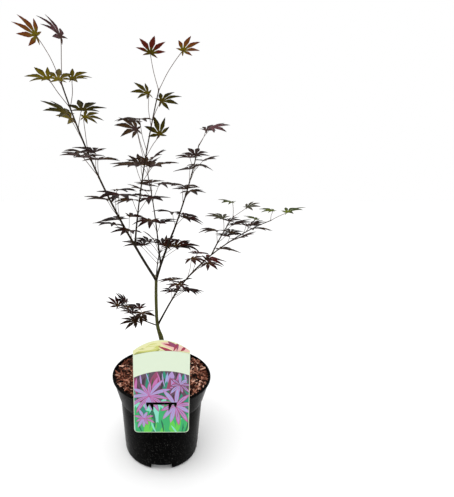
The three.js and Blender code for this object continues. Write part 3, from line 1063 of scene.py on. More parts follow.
@dataclass
class LabelCard:
    """A die-cut card that hangs on the pot's lip by a slot, printed with a plain flower design."""

    width: float = 93.5
    bottom: float = 97.0
    shoulder: float = 248.0
    top: float = 266.5
    corner_radius: float = 8.0
    thickness: float = 0.6
    back: float = 93.6
    slot_width: float = 52.0
    slot_bottom: float = 149.7
    slot_top: float = 154.3
    teeth: tuple[tuple[float, float, float, float], ...] = (
        # left and right end at the slot, then the tip's place across and its drop
        (-26.0, -20.5, -24.0, 6.0),
        (-20.0, -13.4, -13.8, 13.0),
        (11.6, 17.8, 12.0, 13.5),
        (20.5, 26.0, 24.0, 6.0),
    )
    border: float = 0.9
    band_inset: float = 0.5
    edge_overlap: float = 0.1  # how far inside the card's sides its bare panel ends
    ink_step: float = 0.002  # each stroke is printed a hair in front of the one under it
    ink_cover: float = 0.8  # share of that step that the ink fills
    picture_top: tuple[float, float, float] = (200.0, 222.0, 204.0)  # left, middle control, right
    band_foot: tuple[float, float, float] = (240.0, 254.0, 243.0)
    meadow_top: tuple[float, float, float] = (132.0, 158.0, 120.0)
    petal_droop: float = 0.26  # sideways bend of a level petal, as a share of its length
    petal_width: float = 0.41  # share of the room between petals that each one fills
    petal_steps: int = 8
    petal_shape: tuple[float, float] = (1.15, 0.8)  # how near its foot it is widest, and how pointed
    petal_sway: tuple[float, float] = (0.2, 2.1)  # how much petals differ in length, and how fast
    petal_shades: tuple[tuple[float, float, float, int], ...] = (
        # start, end and width as shares of the petal's own, and which of its inks
        (0.0, 1.0, 1.0, 0),
        (0.03, 0.96, 0.86, 1),
        (0.1, 0.84, 0.5, 2),
        (0.16, 0.7, 0.14, 0),
    )
    heading_sway: float = 2.4  # how fast the strokes of a row differ in heading
    reach_sway: tuple[float, float] = (0.22, 1.7)  # how much they differ in length, and how fast
    width_sway: tuple[float, float] = (0.3, 4.1)
    bend_sway: tuple[float, float] = (0.18, 3.7)
    dome_shape: float = 0.8  # bow of the line near the dome at which strokes end
    corner_steps: int = 6
    panel_corner_steps: int = 5
    cutter_reach: tuple[float, float] = (3.0, 6.0)  # how far the slot's cutter goes back and forward
    strokes: tuple[Stroke, ...] = (
        Stroke(
            (-45, 204), (0, 214), 7, 268, 12, 42, 6.0, (Ink.ROSE, Ink.DUSK, Ink.MAUVE, Ink.TEAL, Ink.MAUVE)
        ),
        Stroke(
            (4, 214), (45, 207), 7, 274, 14, 40, 5.4, (Ink.TEAL, Ink.MAUVE, Ink.ORCHID, Ink.DUSK, Ink.MAUVE)
        ),
        Stroke(
            (-41, 200), (42, 202), 13, 262, 20, 28, 2.4, (Ink.PINK, Ink.TEAL, Ink.DUSK, Ink.ROSE, Ink.MOSS)
        ),
        Stroke((-36, 211), (38, 209), 9, 276, 24, 24, 1.4, (Ink.ORCHID, Ink.SKY, Ink.MAUVE, Ink.PINK)),
        Stroke((-46, 180), (46, 176), 9, 262, 40, 30, 7.0, (Ink.TEAL, Ink.FOREST, Ink.TEAL, Ink.DUSK)),
        Stroke((-48, 158), (-14, 140), 6, 304, 40, 30, 7.0, (Ink.MINT, Ink.MINT, Ink.TEAL, Ink.MINT)),
        Stroke((8, 164), (48, 142), 6, 244, 40, 30, 7.0, (Ink.MINT, Ink.TEAL, Ink.GREEN, Ink.MINT)),
        Stroke((-48, 92), (46, 90), 9, 86, 22, 46, 7.5, (Ink.GREEN, Ink.GREEN, Ink.SPRING, Ink.FOREST)),
        Stroke((-30, 90), (48, 88), 7, 74, 26, 36, 5.0, (Ink.SPRING, Ink.GREEN, Ink.SPRING, Ink.GREEN)),
        Stroke((-44, 96), (40, 94), 8, 98, 30, 24, 1.8, (Ink.MINT, Ink.FOREST, Ink.SPRING)),
    )
    flowers: tuple[Flower, ...] = (
        Flower(31.0, 186.0, 20.0, 9, 12.0, (Ink.MAUVE, Ink.ROSE, Ink.ORCHID, Ink.SKY)),
        Flower(-21.0, 166.0, 33.0, 13, 4.0, (Ink.ROSE, Ink.PINK, Ink.ORCHID, Ink.SKY)),
        Flower(24.0, 147.0, 32.0, 11, 20.0, (Ink.ROSE, Ink.PINK, Ink.ORCHID, Ink.SKY)),
        Flower(-30.0, 124.0, 17.0, 9, 30.0, (Ink.ROSE, Ink.PINK, Ink.ORCHID, Ink.SKY)),
    )
    band_leaves: tuple[Stroke, ...] = (
        Stroke((-47, 241), (-31, 250), 3, 12, 8, 38, 6.0, (Ink.OLIVE, Ink.LIME, Ink.LIME)),
        Stroke((-44, 247), (-26, 255), 4, 8, 10, 30, 1.5, (Ink.LEMON, Ink.OLIVE, Ink.LEMON)),
        Stroke((-2, 262), (22, 254), 4, -16, 14, 26, 5.0, (Ink.BLUSH, Ink.BLUSH)),
        Stroke((-6, 256), (10, 265), 3, -24, 20, 27, 2.6, (Ink.CHERRY, Ink.CHERRY, Ink.ROSE)),
        Stroke((19, 246), (31, 247), 3, 64, 30, 15, 1.9, (Ink.CHERRY, Ink.ROSE, Ink.CHERRY)),
    )

    def dome(self, half: float, inset: float, count: int = 16) -> Outline:
        """Give the domed top from right to left, over its two shoulders.

        Args:
            half: how far to each side it reaches.
            inset: how far under the card's edge it runs.
            count: number of stretches in each side.

        Returns:
            The dome's points.
        """
        right = [(half, self.shoulder), (half / 2, self.top), (0.0, self.top)]
        line = []
        for k in range(count + 1):
            t = k / count
            weights = ((1 - t) ** 2, 2 * t * (1 - t), t * t)
            x, z = (sum(w * point[axis] for w, point in zip(weights, right)) for axis in (0, 1))
            line.append((x, z - inset))
        return [*line, *((-x, z) for x, z in reversed(line[:-1]))]

    def outline(self) -> Outline:
        """Give the card's edge: square sides, rounded lower corners and a domed top.

        Returns:
            The edge, as places across and up.
        """
        half = self.width / 2
        lower = softened(
            [
                (-half, self.bottom, self.corner_radius),
                (half, self.bottom, self.corner_radius),
                (half, self.shoulder, 0.0),
                (-half, self.shoulder, 0.0),
            ],
            self.corner_steps,
        )
        return [*lower[:-2], *self.dome(half, 0.0)]

    def slot(self) -> Outline:
        """Give the slot's edge, with its pointed teeth along the lower side.

        Returns:
            The edge, as places across and up.
        """
        half = self.slot_width / 2
        edge = [(-half, self.slot_top)]
        for left, right, tip, drop in self.teeth:
            edge += [(left, self.slot_bottom), (tip, self.slot_bottom - drop), (right, self.slot_bottom)]
        return [*edge, (half, self.slot_top)]

    def curve(self, heights: tuple[float, float, float], half: float, count: int = 18) -> Outline:
        """Give a bow from the card's left to its right.

        Args:
            heights: height at the left, at the middle control point and at the right.
            half: how far to each side it runs.
            count: number of stretches.

        Returns:
            The bow's points.
        """
        left, middle, right = heights
        line = []
        for k in range(count + 1):
            t = k / count
            height = left * (1 - t) ** 2 + 2 * middle * t * (1 - t) + right * t * t
            line.append((lerp(-half, half, t), height))
        return line

    def plate(self, form: BMesh, outline: Outline, back: float, front: float, ink: Ink) -> None:
        """Add a flat plate that faces the front.

        Args:
            form: the bmesh that it joins.
            outline: its edge, as places across and up.
            back: how far in front of the trunk's axis its back lies.
            front: and its front.
            ink: its printed colour.
        """
        verts = [form.verts.new((x, -back, z)) for x, z in outline]
        face = form.faces.new(verts)
        face.material_index = list(Ink).index(ink)
        lifted = bmesh.ops.extrude_face_region(form, geom=[face])["geom"]
        moved = [item for item in lifted if isinstance(item, bmesh.types.BMVert)]
        bmesh.ops.translate(form, vec=(0, back - front, 0), verts=moved)
        for near in {f for vert in moved for f in vert.link_faces}:
            near.material_index = face.material_index

    def petal(
        self, place: Place, heading: float, span: Span, half: float, bend: float = 0.0
    ) -> Outline:
        """Give the edge of a pointed petal, leaf or brush stroke, kept inside the card.

        Args:
            place: where its line starts, across and up.
            heading: angle of its line from level.
            span: distance from there to its near end and to its far end.
            half: half its greatest width.
            bend: how far its line has gone to the left at the far end, as a share of its length.

        Returns:
            The petal's edge.
        """
        along = Vector((math.cos(math.radians(heading)), math.sin(math.radians(heading))))
        aside = Vector((-along.y, along.x))
        steps = self.petal_steps
        foot, point = self.petal_shape
        edge = []
        for k in range(2 * steps):
            t = k / steps if k <= steps else 2 - k / steps
            swell = math.sin(math.pi * t**foot) ** point if 0 < t < 1 else 0.0
            side = half * swell * (1 if k <= steps else -1)
            reach = lerp(*span, t)
            edge.append(Vector(place) + along * reach + aside * (side + bend * reach**2 / span[1]))
        return [self.kept_in(spot) for spot in edge]

    def kept_in(self, point: Vector) -> Place:
        """Keep a printed point off the card's edge.

        Args:
            point: the point, across and up.

        Returns:
            The point, moved inside the border, a bow close to the dome and the rounded foot.
        """
        half = self.width / 2 - self.border
        x = max(-half, min(half, point.x))
        bow = math.cos(math.pi / 2 * abs(x) / half) ** self.dome_shape
        dome = lerp(self.shoulder, self.top, bow)
        z = max(self.bottom + self.border, min(dome - self.border, point.y))
        round_foot = self.corner_radius - self.border
        middle = Vector((math.copysign(half - round_foot, x), self.bottom + self.corner_radius))
        out = Vector((x, z)) - middle
        if abs(x) > abs(middle.x) and z < middle.y and out.length > round_foot:
            x, z = middle + out.normalized() * round_foot
        return x, z

    def draw_panel(self, form: BMesh, top: tuple[float, float, float], depth: Span, ink: Ink) -> None:
        """Print a panel from the card's foot up to a bow.

        Args:
            form: the bmesh that it joins.
            top: the bow's heights at the left, the middle control point and the right.
            depth: the ink's back and front.
            ink: its colour.
        """
        half = self.width / 2 - self.border
        low = self.bottom + self.border
        round_foot = self.corner_radius - self.border
        foot = softened(
            [(half, low, round_foot), (-half, low, round_foot), (-half, top[0], 0.0), (half, top[2], 0.0)],
            self.panel_corner_steps,
        )
        self.plate(form, [*self.curve(top, half), *foot[:-2]], *depth, ink)

    def draw_strokes(self, form: BMesh, row: Stroke, front: Callable[[], Span]) -> None:
        """Print a row of brush strokes.

        Args:
            form: the bmesh that it joins.
            row: the row.
            front: gives the back and front of the next ink.
        """
        for k in range(row.count):
            t = k / max(row.count - 1, 1)
            place = (lerp(row.start[0], row.end[0], t), lerp(row.start[1], row.end[1], t))
            heading = row.heading + row.swing * math.sin(self.heading_sway * k)
            reach = row.reach * (1.0 + self.reach_sway[0] * math.cos(self.reach_sway[1] * k))
            half = row.half * (1.0 + self.width_sway[0] * math.sin(self.width_sway[1] * k))
            bend = self.bend_sway[0] * math.sin(self.bend_sway[1] * k)
            stroke = self.petal(place, heading, (0.0, reach), half, bend)
            self.plate(form, stroke, *front(), row.inks[k % len(row.inks)])

    def draw_flower(self, form: BMesh, flower: Flower, front: Callable[[], Span]) -> None:
        """Print one flower: a ring of drooping petals, each shaded in three inks.

        Args:
            form: the bmesh that it joins.
            flower: the flower.
            front: gives the back and front of the next ink.
        """
        half = self.petal_width * flower.reach * math.tan(math.pi / flower.petals)
        for k in range(flower.petals):
            heading = flower.turn + 360.0 * (2 * k % flower.petals) / flower.petals
            reach = flower.reach * (1.0 + self.petal_sway[0] * math.sin(self.petal_sway[1] * k))
            bend = -self.petal_droop * math.cos(math.radians(heading))
            tone = k % (len(flower.inks) - 2)
            for start, end, width, shade in self.petal_shades:
                ends = (start * reach, end * reach)
                bent = bend * ends[1] / reach
                edge = self.petal((flower.x, flower.z), heading, ends, width * half, bent)
                self.plate(form, edge, *front(), flower.inks[tone + shade])

    def printed(self) -> BMesh:
        """Make the card with its print: the band along the top and the picture below.

        Returns:
            The card without its slot.
        """
        form = bmesh.new()
        depth = self.back + self.thickness
        self.plate(form, self.outline(), self.back, depth, Ink.CREAM)

        def front() -> Span:
            """Give the back and front of the next ink."""
            nonlocal depth
            depth += self.ink_step
            return depth - self.ink_cover * self.ink_step, depth

        half = self.width / 2 - self.band_inset
        band = [*self.curve(self.band_foot, half), *self.dome(half, self.band_inset)]
        self.plate(form, band, *front(), Ink.LEMON)
        for row in self.band_leaves:
            self.draw_strokes(form, row, front)
        self.draw_panel(form, self.picture_top, front(), Ink.MAUVE)
        self.draw_panel(form, self.meadow_top, front(), Ink.GREEN)
        for row in self.strokes:
            self.draw_strokes(form, row, front)
        for flower in self.flowers:
            self.draw_flower(form, flower, front)
        edge = self.width / 2 - self.edge_overlap
        bare = [*self.curve(self.picture_top, edge), *reversed(self.curve(self.band_foot, edge))]
        self.plate(form, bare, *front(), Ink.CREAM)
        bmesh.ops.recalc_face_normals(form, faces=form.faces)
        return form

    def build(self) -> None:
        """Print the card, cut its slot and set it in place of its node."""
        palette = [ink.value for ink in Ink]
        card = mesh_of(self.printed(), "card_print", palette)
        knife = bmesh.new()
        behind, before = self.cutter_reach
        self.plate(knife, self.slot(), self.back - behind, self.back + before, Ink.CREAM)
        bmesh.ops.recalc_face_normals(knife, faces=knife.faces)
        slot = mesh_of(knife, "card_slot", palette)
        set_piece("hanging_label", cut_away(card, slot), "printed_card", "label_card")


# Wood


# The stem's living bark is green and matt, last year's wood is near black, and this year's shoots and
# stalks are brown with a slight gloss. Bud scales shine a little, and the snag is grey, dry and split.
YOUNG_BARK = Bark("young_maple_bark", "#4d5226", second="#38341e", pore="#85804f")
DARK_BARK = Bark("dark_maple_bark", "#1b1612", second="#2a241a", pore="#4d4434")
SHOOT_BARK = Bark("young_shoot_bark", "#211910", second="#2e2415", pore="#4d4332", streak=0.8)
STALK_SKIN = LeafSkin("leaf_stalk_skin", "#4a3629", roughness=0.45)
BUD_SCALE = LeafSkin("red_bud_scale", "#5c2723", roughness=0.4)
DEAD_WOOD = Bark("dry_snag_wood", "#a39a86", second="#857a66", pore="#c4bca8")


def swelling(reach: float, places: Iterable[float], length: float) -> float:
    """Give how far a limb swells at a place, 1 for the middle of a rounded swelling.

    Args:
        reach: the place along the limb.
        places: where its swellings are.
        length: how far from its middle a swelling fades.

    Returns:
        The sum over all the swellings.
    """
    return sum(math.exp(-(((reach - place) / length) ** 2)) for place in places)


@dataclass(frozen=True)
class Limb:
    """One tapering limb whose heading and lean change evenly along it."""

    heading: float
    turn: float
    lean: float
    droop: float
    length: float
    butt: float
    tip: float

    def path(self, start: Vector, steps: int) -> list[Vector]:
        """Grow the limb's line from its start.

        Args:
            start: where it begins.
            steps: number of straight stretches in it.

        Returns:
            Its points.
        """
        points = [start.copy()]
        for i in range(steps):
            t = (i + 0.5) / steps
            step = direction(self.heading + self.turn * t, self.lean + self.droop * t)
            points.append(points[-1] + step * (self.length / steps))
        return points


@dataclass(frozen=True)
class Station:
    """Height over the soil, sideways sway and radius of the trunk."""

    height: float
    sway: float
    radius: float


@dataclass
class Trunk:
    """The trunk: a flat foot with root ridges, a swelling at the graft and a lean to its fork."""

    foot: float = 149.6
    sunk: float = 1.4  # length of the foot down among the chips
    stations: tuple[Station, ...] = (
        Station(0, 4, 6.6),
        Station(12, 3.6, 4.6),
        Station(40, 2.2, 4.1),
        Station(68, 0.8, 4.4),
        Station(78, -1.2, 4.5),
        Station(92, -5.6, 3.4),
        Station(104, -8, 3.1),
        Station(148, -10, 2.9),
        Station(191, -10, 2.8),
    )
    root_ridges: int = 5
    ridge_depth: float = 0.35
    flare_height: float = 16.0
    path_steps: int = 24
    steps: int = 190
    sides: int = 28
    bud_scars: tuple[float, ...] = (27.0, 52.0, 96.0, 128.0, 160.0)
    scar_length: float = 1.3
    scar_rise: float = 0.2
    relief: tuple[float, float] = (0.16, 1.7)  # depth and width of the bark's ridges
    snag: tuple[tuple[float, float, float], ...] = (  # its line from the fork
        (0.0, 0.0, -2.0),
        (-0.6, -1.6, 4.0),
        (-1.4, -2.4, 10.0),
    )
    snag_radii: tuple[float, float] = (1.5, 0.9)
    snag_steps: int = 8
    snag_sides: int = 10
    snag_relief: tuple[float, float] = (0.2, 0.9)

    def path(self) -> list[Vector]:
        """Give the trunk's line with the spacing on which boughs find their places.

        Returns:
            The line's points.
        """
        places = [Vector((s.sway, 0.0, self.foot + s.height)) for s in self.stations]
        points = smooth_line(places, self.path_steps)
        points[0].x = points[1].x
        return points

    def radius(self, height: float, angle: float) -> float:
        """Give the trunk's radius.

        Args:
            height: height over its foot.
            angle: direction round it, in radians.

        Returns:
            The radius, with root ridges, bud scars and the swollen fork.
        """
        heights, radii = zip(*((station.height, station.radius) for station in self.stations))
        plain = float(np.interp(height, heights, radii))
        flare = max(0.0, 1.0 - max(height, 0.0) / self.flare_height) ** 2
        ridges = 1.0 + self.ridge_depth * flare * math.cos(self.root_ridges * angle)
        return plain * ridges + self.scar_rise * swelling(height, self.bud_scars, self.scar_length)

    def build(self, path: list[Vector]) -> None:
        """Make the trunk and the dry snag at its fork.

        Args:
            path: the trunk's line.
        """
        heap = Heap()
        below = path[0] - UP * self.sunk
        line = smooth_line([below, *path], self.steps)
        points, form = bent_rod(
            line, self.sides, lambda t, a: self.radius(path_at(line, t)[0].z - self.foot, a)
        )
        heap.add(roughened(points, line, *self.relief), form, [YOUNG_BARK])
        snag = smooth_line([path[-1] + Vector(place) for place in self.snag], self.snag_steps)
        points, form = bent_rod(snag, self.snag_sides, lambda t, _: lerp(*self.snag_radii, t))
        heap.add(roughened(points, snag, *self.snag_relief), form, [DEAD_WOOD])
        set_piece("trunk_bark", heap.mesh("trunk_bark"), "young_bark", "trunk")


@dataclass(frozen=True)
class Bough:
    """A main limb, and where it starts on the limb that carries it."""

    name: str
    on: str
    at: float
    limb: Limb
    steps: int = 6
    sides: int = 18
    collar: tuple[float, float] = (0.7, 5.0)  # rise where it leaves its limb, and how far it fades
    first_scar: float = 22.0
    last_scar: float = 6.0  # how far from the tip the last bud scar may lie
    scar_step: float = 24.0
    scar_length: float = 1.2
    scar_rise: float = 0.12
    relief: tuple[float, float] = (0.12, 1.2)  # depth and width of the bark's ridges

    def radius(self, share: float) -> float:
        """Give the radius at a place.

        Args:
            share: how far along the bough the place is.

        Returns:
            The radius, with the collar and the bud scars.
        """
        reach = share * self.limb.length
        rise, fade = self.collar
        scars = np.arange(self.first_scar, self.limb.length - self.last_scar, self.scar_step)
        swell = self.scar_rise * swelling(reach, scars, self.scar_length)
        return lerp(self.limb.butt, self.limb.tip, share) + rise * math.exp(-reach / fade) + swell

    def build(self, path: list[Vector]) -> None:
        """Make the bough.

        Args:
            path: its line.
        """
        line = smooth_line(path, int(self.limb.length))
        points, form = bent_rod(line, self.sides, lambda t, _: self.radius(t))
        heap = Heap()
        heap.add(roughened(points, line, *self.relief), form, [DARK_BARK])
        name = f"{self.name}_bark"
        set_piece(name, heap.mesh(name), "bough_bark", self.name)


BOUGHS = (
    Bough("bough_left", "trunk", 1, Limb(-156, 8, 33, -3, 84, 2.6, 2.1)),
    Bough("bough_right", "trunk", 1, Limb(30, 10, 19, 11, 98, 2.4, 1.8)),
    Bough("bough_centre", "bough_left", 0.94, Limb(-57, 4, 9, 3, 50, 1.6, 1.4)),
    Bough("bough_back", "bough_right", 0.3, Limb(116, -8, 20, -3, 54, 1.6, 1.4)),
    Bough("bough_low_right", "trunk", 0.53, Limb(-20, 4, 26, 2, 57, 1.8, 1.5)),
)


# Leaves


class Tone(Enum):
    """The plain colours that leaves are dealt."""

    EMBER = LeafSkin("leaf_ember", "#582112")
    FLAME = LeafSkin("leaf_flame", "#541a10")
    AMBER = LeafSkin("leaf_amber", "#673c13")
    GOLD_OLIVE = LeafSkin("leaf_gold_olive", "#60530c")
    MOSS = LeafSkin("leaf_moss", "#483d08")
    OLIVE = LeafSkin("leaf_olive", "#383207")
    DEEP_OLIVE = LeafSkin("leaf_deep_olive", "#1d1a07")
    PLUM = LeafSkin("leaf_plum", "#23130e")
    MAUVE = LeafSkin("leaf_mauve", "#54383b")
    BRONZE = LeafSkin("leaf_bronze", "#241609")
    UMBER = LeafSkin("leaf_umber", "#45301a")
    WINE = LeafSkin("leaf_wine", "#34140f")
    DARK_WINE = LeafSkin("leaf_dark_wine", "#1e0d0a")
    CRIMSON = LeafSkin("leaf_crimson", "#571210")
    SAGE = LeafSkin("leaf_sage", "#5b651f")
    FERN = LeafSkin("leaf_fern", "#36421a")
    SLATE = LeafSkin("leaf_slate", "#3d3c2c")
    GREY_PLUM = LeafSkin("leaf_grey_plum", "#42302d")


class Coat(Enum):
    """The tones of one leaf: heart, blade and tips on top, then the same three from below."""

    AMBER = (Tone.GOLD_OLIVE, Tone.AMBER, Tone.FLAME, Tone.GOLD_OLIVE, Tone.AMBER, Tone.EMBER)
    FLAME = (Tone.MOSS, Tone.FLAME, Tone.CRIMSON, Tone.MOSS, Tone.FLAME, Tone.EMBER)
    MAUVE = (Tone.MAUVE, Tone.MAUVE, Tone.PLUM, Tone.GREY_PLUM, Tone.MAUVE, Tone.PLUM)
    GOLD = (Tone.GOLD_OLIVE, Tone.MOSS, Tone.OLIVE, Tone.GOLD_OLIVE, Tone.GOLD_OLIVE, Tone.MOSS)
    MOSS = (Tone.GOLD_OLIVE, Tone.OLIVE, Tone.BRONZE, Tone.GOLD_OLIVE, Tone.MOSS, Tone.OLIVE)
    OLIVE = (Tone.MOSS, Tone.DEEP_OLIVE, Tone.BRONZE, Tone.MOSS, Tone.OLIVE, Tone.DEEP_OLIVE)
    BRONZE = (Tone.UMBER, Tone.BRONZE, Tone.PLUM, Tone.GREY_PLUM, Tone.UMBER, Tone.BRONZE)
    GREY = (Tone.GREY_PLUM, Tone.PLUM, Tone.BRONZE, Tone.GREY_PLUM, Tone.GREY_PLUM, Tone.PLUM)
    WINE = (Tone.UMBER, Tone.WINE, Tone.DARK_WINE, Tone.UMBER, Tone.WINE, Tone.BRONZE)
    DARK_WINE = (Tone.WINE, Tone.DARK_WINE, Tone.DARK_WINE, Tone.UMBER, Tone.BRONZE, Tone.DARK_WINE)
    CRIMSON = (Tone.WINE, Tone.CRIMSON, Tone.DARK_WINE, Tone.WINE, Tone.CRIMSON, Tone.WINE)
    SLATE = (Tone.SLATE, Tone.SLATE, Tone.GREY_PLUM, Tone.SLATE, Tone.GREY_PLUM, Tone.PLUM)
    GREEN = (Tone.SAGE, Tone.FERN, Tone.SLATE, Tone.SAGE, Tone.SAGE, Tone.FERN)

    @property
    def skins(self) -> list[Finish]:
        """Give the finish of each of a leaf's zones."""
        return [tone.value for tone in self.value]


@dataclass(frozen=True)
class Lobe:
    """One lobe: its turn from the leaf's midline, its reach and the lines where its sides begin."""

    angle: float
    reach: float
    sides: tuple[tuple[float, float], tuple[float, float]]  # angle and distance of each side's start


@dataclass(frozen=True)
class LeafBlade:
    """A palmate blade of seven narrow toothed lobes, one unit long."""

    lobes: tuple[tuple[float, float], ...] = ((0, 1), (37, 0.94), (76, 0.74), (119, 0.42))
    widest: float = 0.5
    half_width: float = 0.13
    notch: float = 0.15
    heel: float = 0.05
    thickness: float = 0.011
    lift: tuple[float, float] = (0.1, 0.28)  # rise of a lobe from the top of the stalk
    droop: tuple[float, float] = (0.12, 0.3)  # and its fall towards the tip
    fold: float = 0.42  # rise of a lobe's sides for each unit across, from its sunken rib
    tip_shape: float = 1.5  # over 1, a lobe stays wide further out
    tip_pinch: float = 0.2
    tooth: float = 0.035
    tooth_rake: float = 0.02  # how far the teeth point forward
    web_rows: int = 3
    rows: int = 13
    heart_reach: float = 0.24
    tip_share: float = 0.66
    bleed: float = 0.24  # how far each tone runs along the ribs and the next along the sides
    seen_from_below: float = -0.05  # a face turned down more than this has an underside tone
    lift_sway: float = 0.45  # how much the lobes of one leaf differ in rise
    droop_sway: float = 0.3
    swing: float = 6.0  # greatest sideways turn of a lobe's tip

    def fan(self) -> list[Lobe]:
        """Give the lobes from one side of the heel round to the other.

        Returns:
            The lobes.
        """
        left = [(-angle, reach) for angle, reach in reversed(self.lobes[1:])]
        row = [*left, *self.lobes]
        middles = [(a[0] + b[0]) / 2 for a, b in zip(row, row[1:])]
        starts = [(-180.0, self.heel), *((angle, self.notch) for angle in middles), (180.0, self.heel)]
        return [Lobe(*lobe, sides) for lobe, sides in zip(row, zip(starts, starts[1:]))]

    def place(self, lobe: Lobe, row: int, column: int) -> Vector:
        """Place one point of a lobe's net.

        Args:
            lobe: the lobe.
            row: its row, from the top of the stalk to the tip.
            column: its column, from -2 to 2, with the rib at 0.

        Returns:
            The point, with the rise of the folded sides.
        """
        axis = Vector((math.cos(math.radians(lobe.angle)), math.sin(math.radians(lobe.angle))))
        aside = Vector((-axis.y, axis.x)) * (1 if column > 0 else -1)
        turn, start = lobe.sides[1 if column > 0 else 0]
        corner = Vector((math.cos(math.radians(turn)), math.sin(math.radians(turn)))) * start
        share = abs(column) / 2
        if row <= self.web_rows:
            web = row / self.web_rows
            flat = (axis * self.notch * web).lerp(corner * web, share)
        else:
            t = (row - self.web_rows) / (self.rows - self.web_rows)
            widest = self.half_width * lobe.reach
            peak = (self.widest * lobe.reach - self.notch) / (lobe.reach - self.notch)
            if t < peak:
                half = lerp(corner.dot(aside), widest, smooth(t / peak))
            else:
                past = (t - peak) / (1 - peak)
                half = widest * (1 - past**self.tip_shape) * (1 - self.tip_pinch * past)
            along = lerp(corner.dot(axis), lobe.reach, t)
            if row % 2 and row < self.rows:
                half *= 1 + self.tooth
                along += self.tooth_rake * lobe.reach
            elif row < self.rows:
                half *= 1 - self.tooth
            rib = axis * lerp(self.notch, lobe.reach, t)
            flat = rib.lerp(axis * along, share) + aside * half * share
        return Vector((flat.x, flat.y, self.fold * abs(flat.x * axis.y - flat.y * axis.x)))

    def zone_of(self, centre: Vector, normal: Vector) -> int:
        """Give the number of the tone that a face takes.

        Args:
            centre: the face's middle.
            normal: its outward direction.

        Returns:
            0 to 2 for heart, blade and tip on top, and 3 to 5 from below.
        """
        reach = centre.xy.length
        angle = math.degrees(math.atan2(centre.y, centre.x))
        nearest = min(self.fan(), key=lambda lobe: abs(lobe.angle - angle))
        aside = reach * abs(math.sin(math.radians(angle - nearest.angle)))
        shift = self.bleed * (0.5 - aside / (self.half_width * nearest.reach))
        heart = self.heart_reach + shift
        tip = (self.tip_share + 2 * shift) * nearest.reach
        zone = 0 if reach < heart else 2 if reach > tip else 1
        return zone if normal.z > self.seen_from_below else zone + 3

    @lru_cache(maxsize=None)
    def form(self) -> Form:
        """Make the flat blade.

        Returns:
            Its form, whose zones are its tones.
        """
        form = bmesh.new()
        for lobe in self.fan():
            net = bmesh.ops.create_grid(form, x_segments=self.rows, y_segments=4, size=0.5)["verts"]
            for vert in net:
                row, column = round((vert.co.x + 0.5) * self.rows), round(vert.co.y * 4)
                vert.co = self.place(lobe, row, column)
        bmesh.ops.remove_doubles(form, verts=form.verts, dist=1e-4)
        bmesh.ops.dissolve_degenerate(form, edges=form.edges, dist=1e-5)
        for face in form.faces:
            if face.normal.z < 0:
                face.normal_flip()
        bmesh.ops.solidify(form, geom=form.faces, thickness=self.thickness)
        bmesh.ops.recalc_face_normals(form, faces=form.faces)
        form.normal_update()
        for face in form.faces:
            face.material_index = self.zone_of(face.calc_center_median(), face.normal)
        return Form.of(form)

    def arched(self, blade: float, spread: float, draws: Draws) -> np.ndarray:
        """Size the blade and arch its lobes, each leaf a little differently.

        Args:
            blade: length of the middle lobe.
            spread: how far its side lobes open, 1 for fully.
            draws: the seeded numbers.

        Returns:
            The blade's points about the top of its stalk.
        """
        points = self.form().points.copy()
        reach = np.hypot(points[:, 0], points[:, 1])
        angle = np.arctan2(points[:, 1], points[:, 0])
        lift = draws.between(*self.lift)
        lift *= 1.0 + self.lift_sway * np.sin(2.0 * angle + draws.between(0.0, math.tau))
        fall = draws.between(*self.droop)
        fall *= 1.0 + self.droop_sway * np.sin(3.0 * angle + draws.between(0.0, math.tau))
        points[:, 2] += lift * reach - fall * reach**2
        swing = math.radians(self.swing) * np.sin(2.0 * angle + draws.between(0.0, math.tau)) * reach
        x, y = points[:, 0].copy(), points[:, 1].copy()
        points[:, 0] = x * np.cos(swing) - y * np.sin(swing)
        points[:, 1] = x * np.sin(swing) + y * np.cos(swing)
        return points * np.array((blade, spread * blade, blade))


# Masses of foliage


@dataclass(frozen=True)
class Pose:
    """How one blade is held: its compass heading, dip under level, roll, length and spread."""

    heading: float
    nod: float
    roll: float
    blade: float
    spread: float = 1.0


@dataclass(frozen=True)
class Pair:
    """A pair of leaves, or a single one: its place, the first leaf's facing, stalks and coats."""

    at: float
    facing: float
    stalks: tuple[float, ...]
    coats: tuple[Coat, ...]
    held: tuple[Pose, ...] = ()


@dataclass(frozen=True)
class Shoot:
    """A stem or twig with its pairs of leaves, and the twigs on it with their places."""

    limb: Limb
    pairs: tuple[Pair, ...]
    twigs: tuple[tuple[float, "Shoot"], ...] = ()


class Room:
    """The space that limbs and leaves already take."""

    def __init__(self) -> None:
        """Start with none taken."""
        self.marks: list[np.ndarray] = []

    def take(self, points: np.ndarray) -> None:
        """Note points that are taken."""
        self.marks.append(points)

    def take_line(self, line: Sequence[Vector]) -> None:
        """Note a limb's centre line."""
        self.take(np.array([point[:] for point in smooth_line(line, LINE_MARKS)]))

    def clear(self, points: np.ndarray, gap: float) -> bool:
        """Tell whether all points are more than a gap from what is taken.

        Args:
            points: the points.
            gap: the gap.

        Returns:
            Whether they are.
        """
        taken = np.concatenate(self.marks)
        apart = np.linalg.norm(points[:, None, :] - taken[None, :, :], axis=2)
        return bool(apart.min() > gap)


LINE_MARKS = 60  # points of a limb's line that are noted as taken
TRIED_EACH, TAKEN_EACH = 5, 9  # of a leaf's points, one in so many is compared, or noted as taken


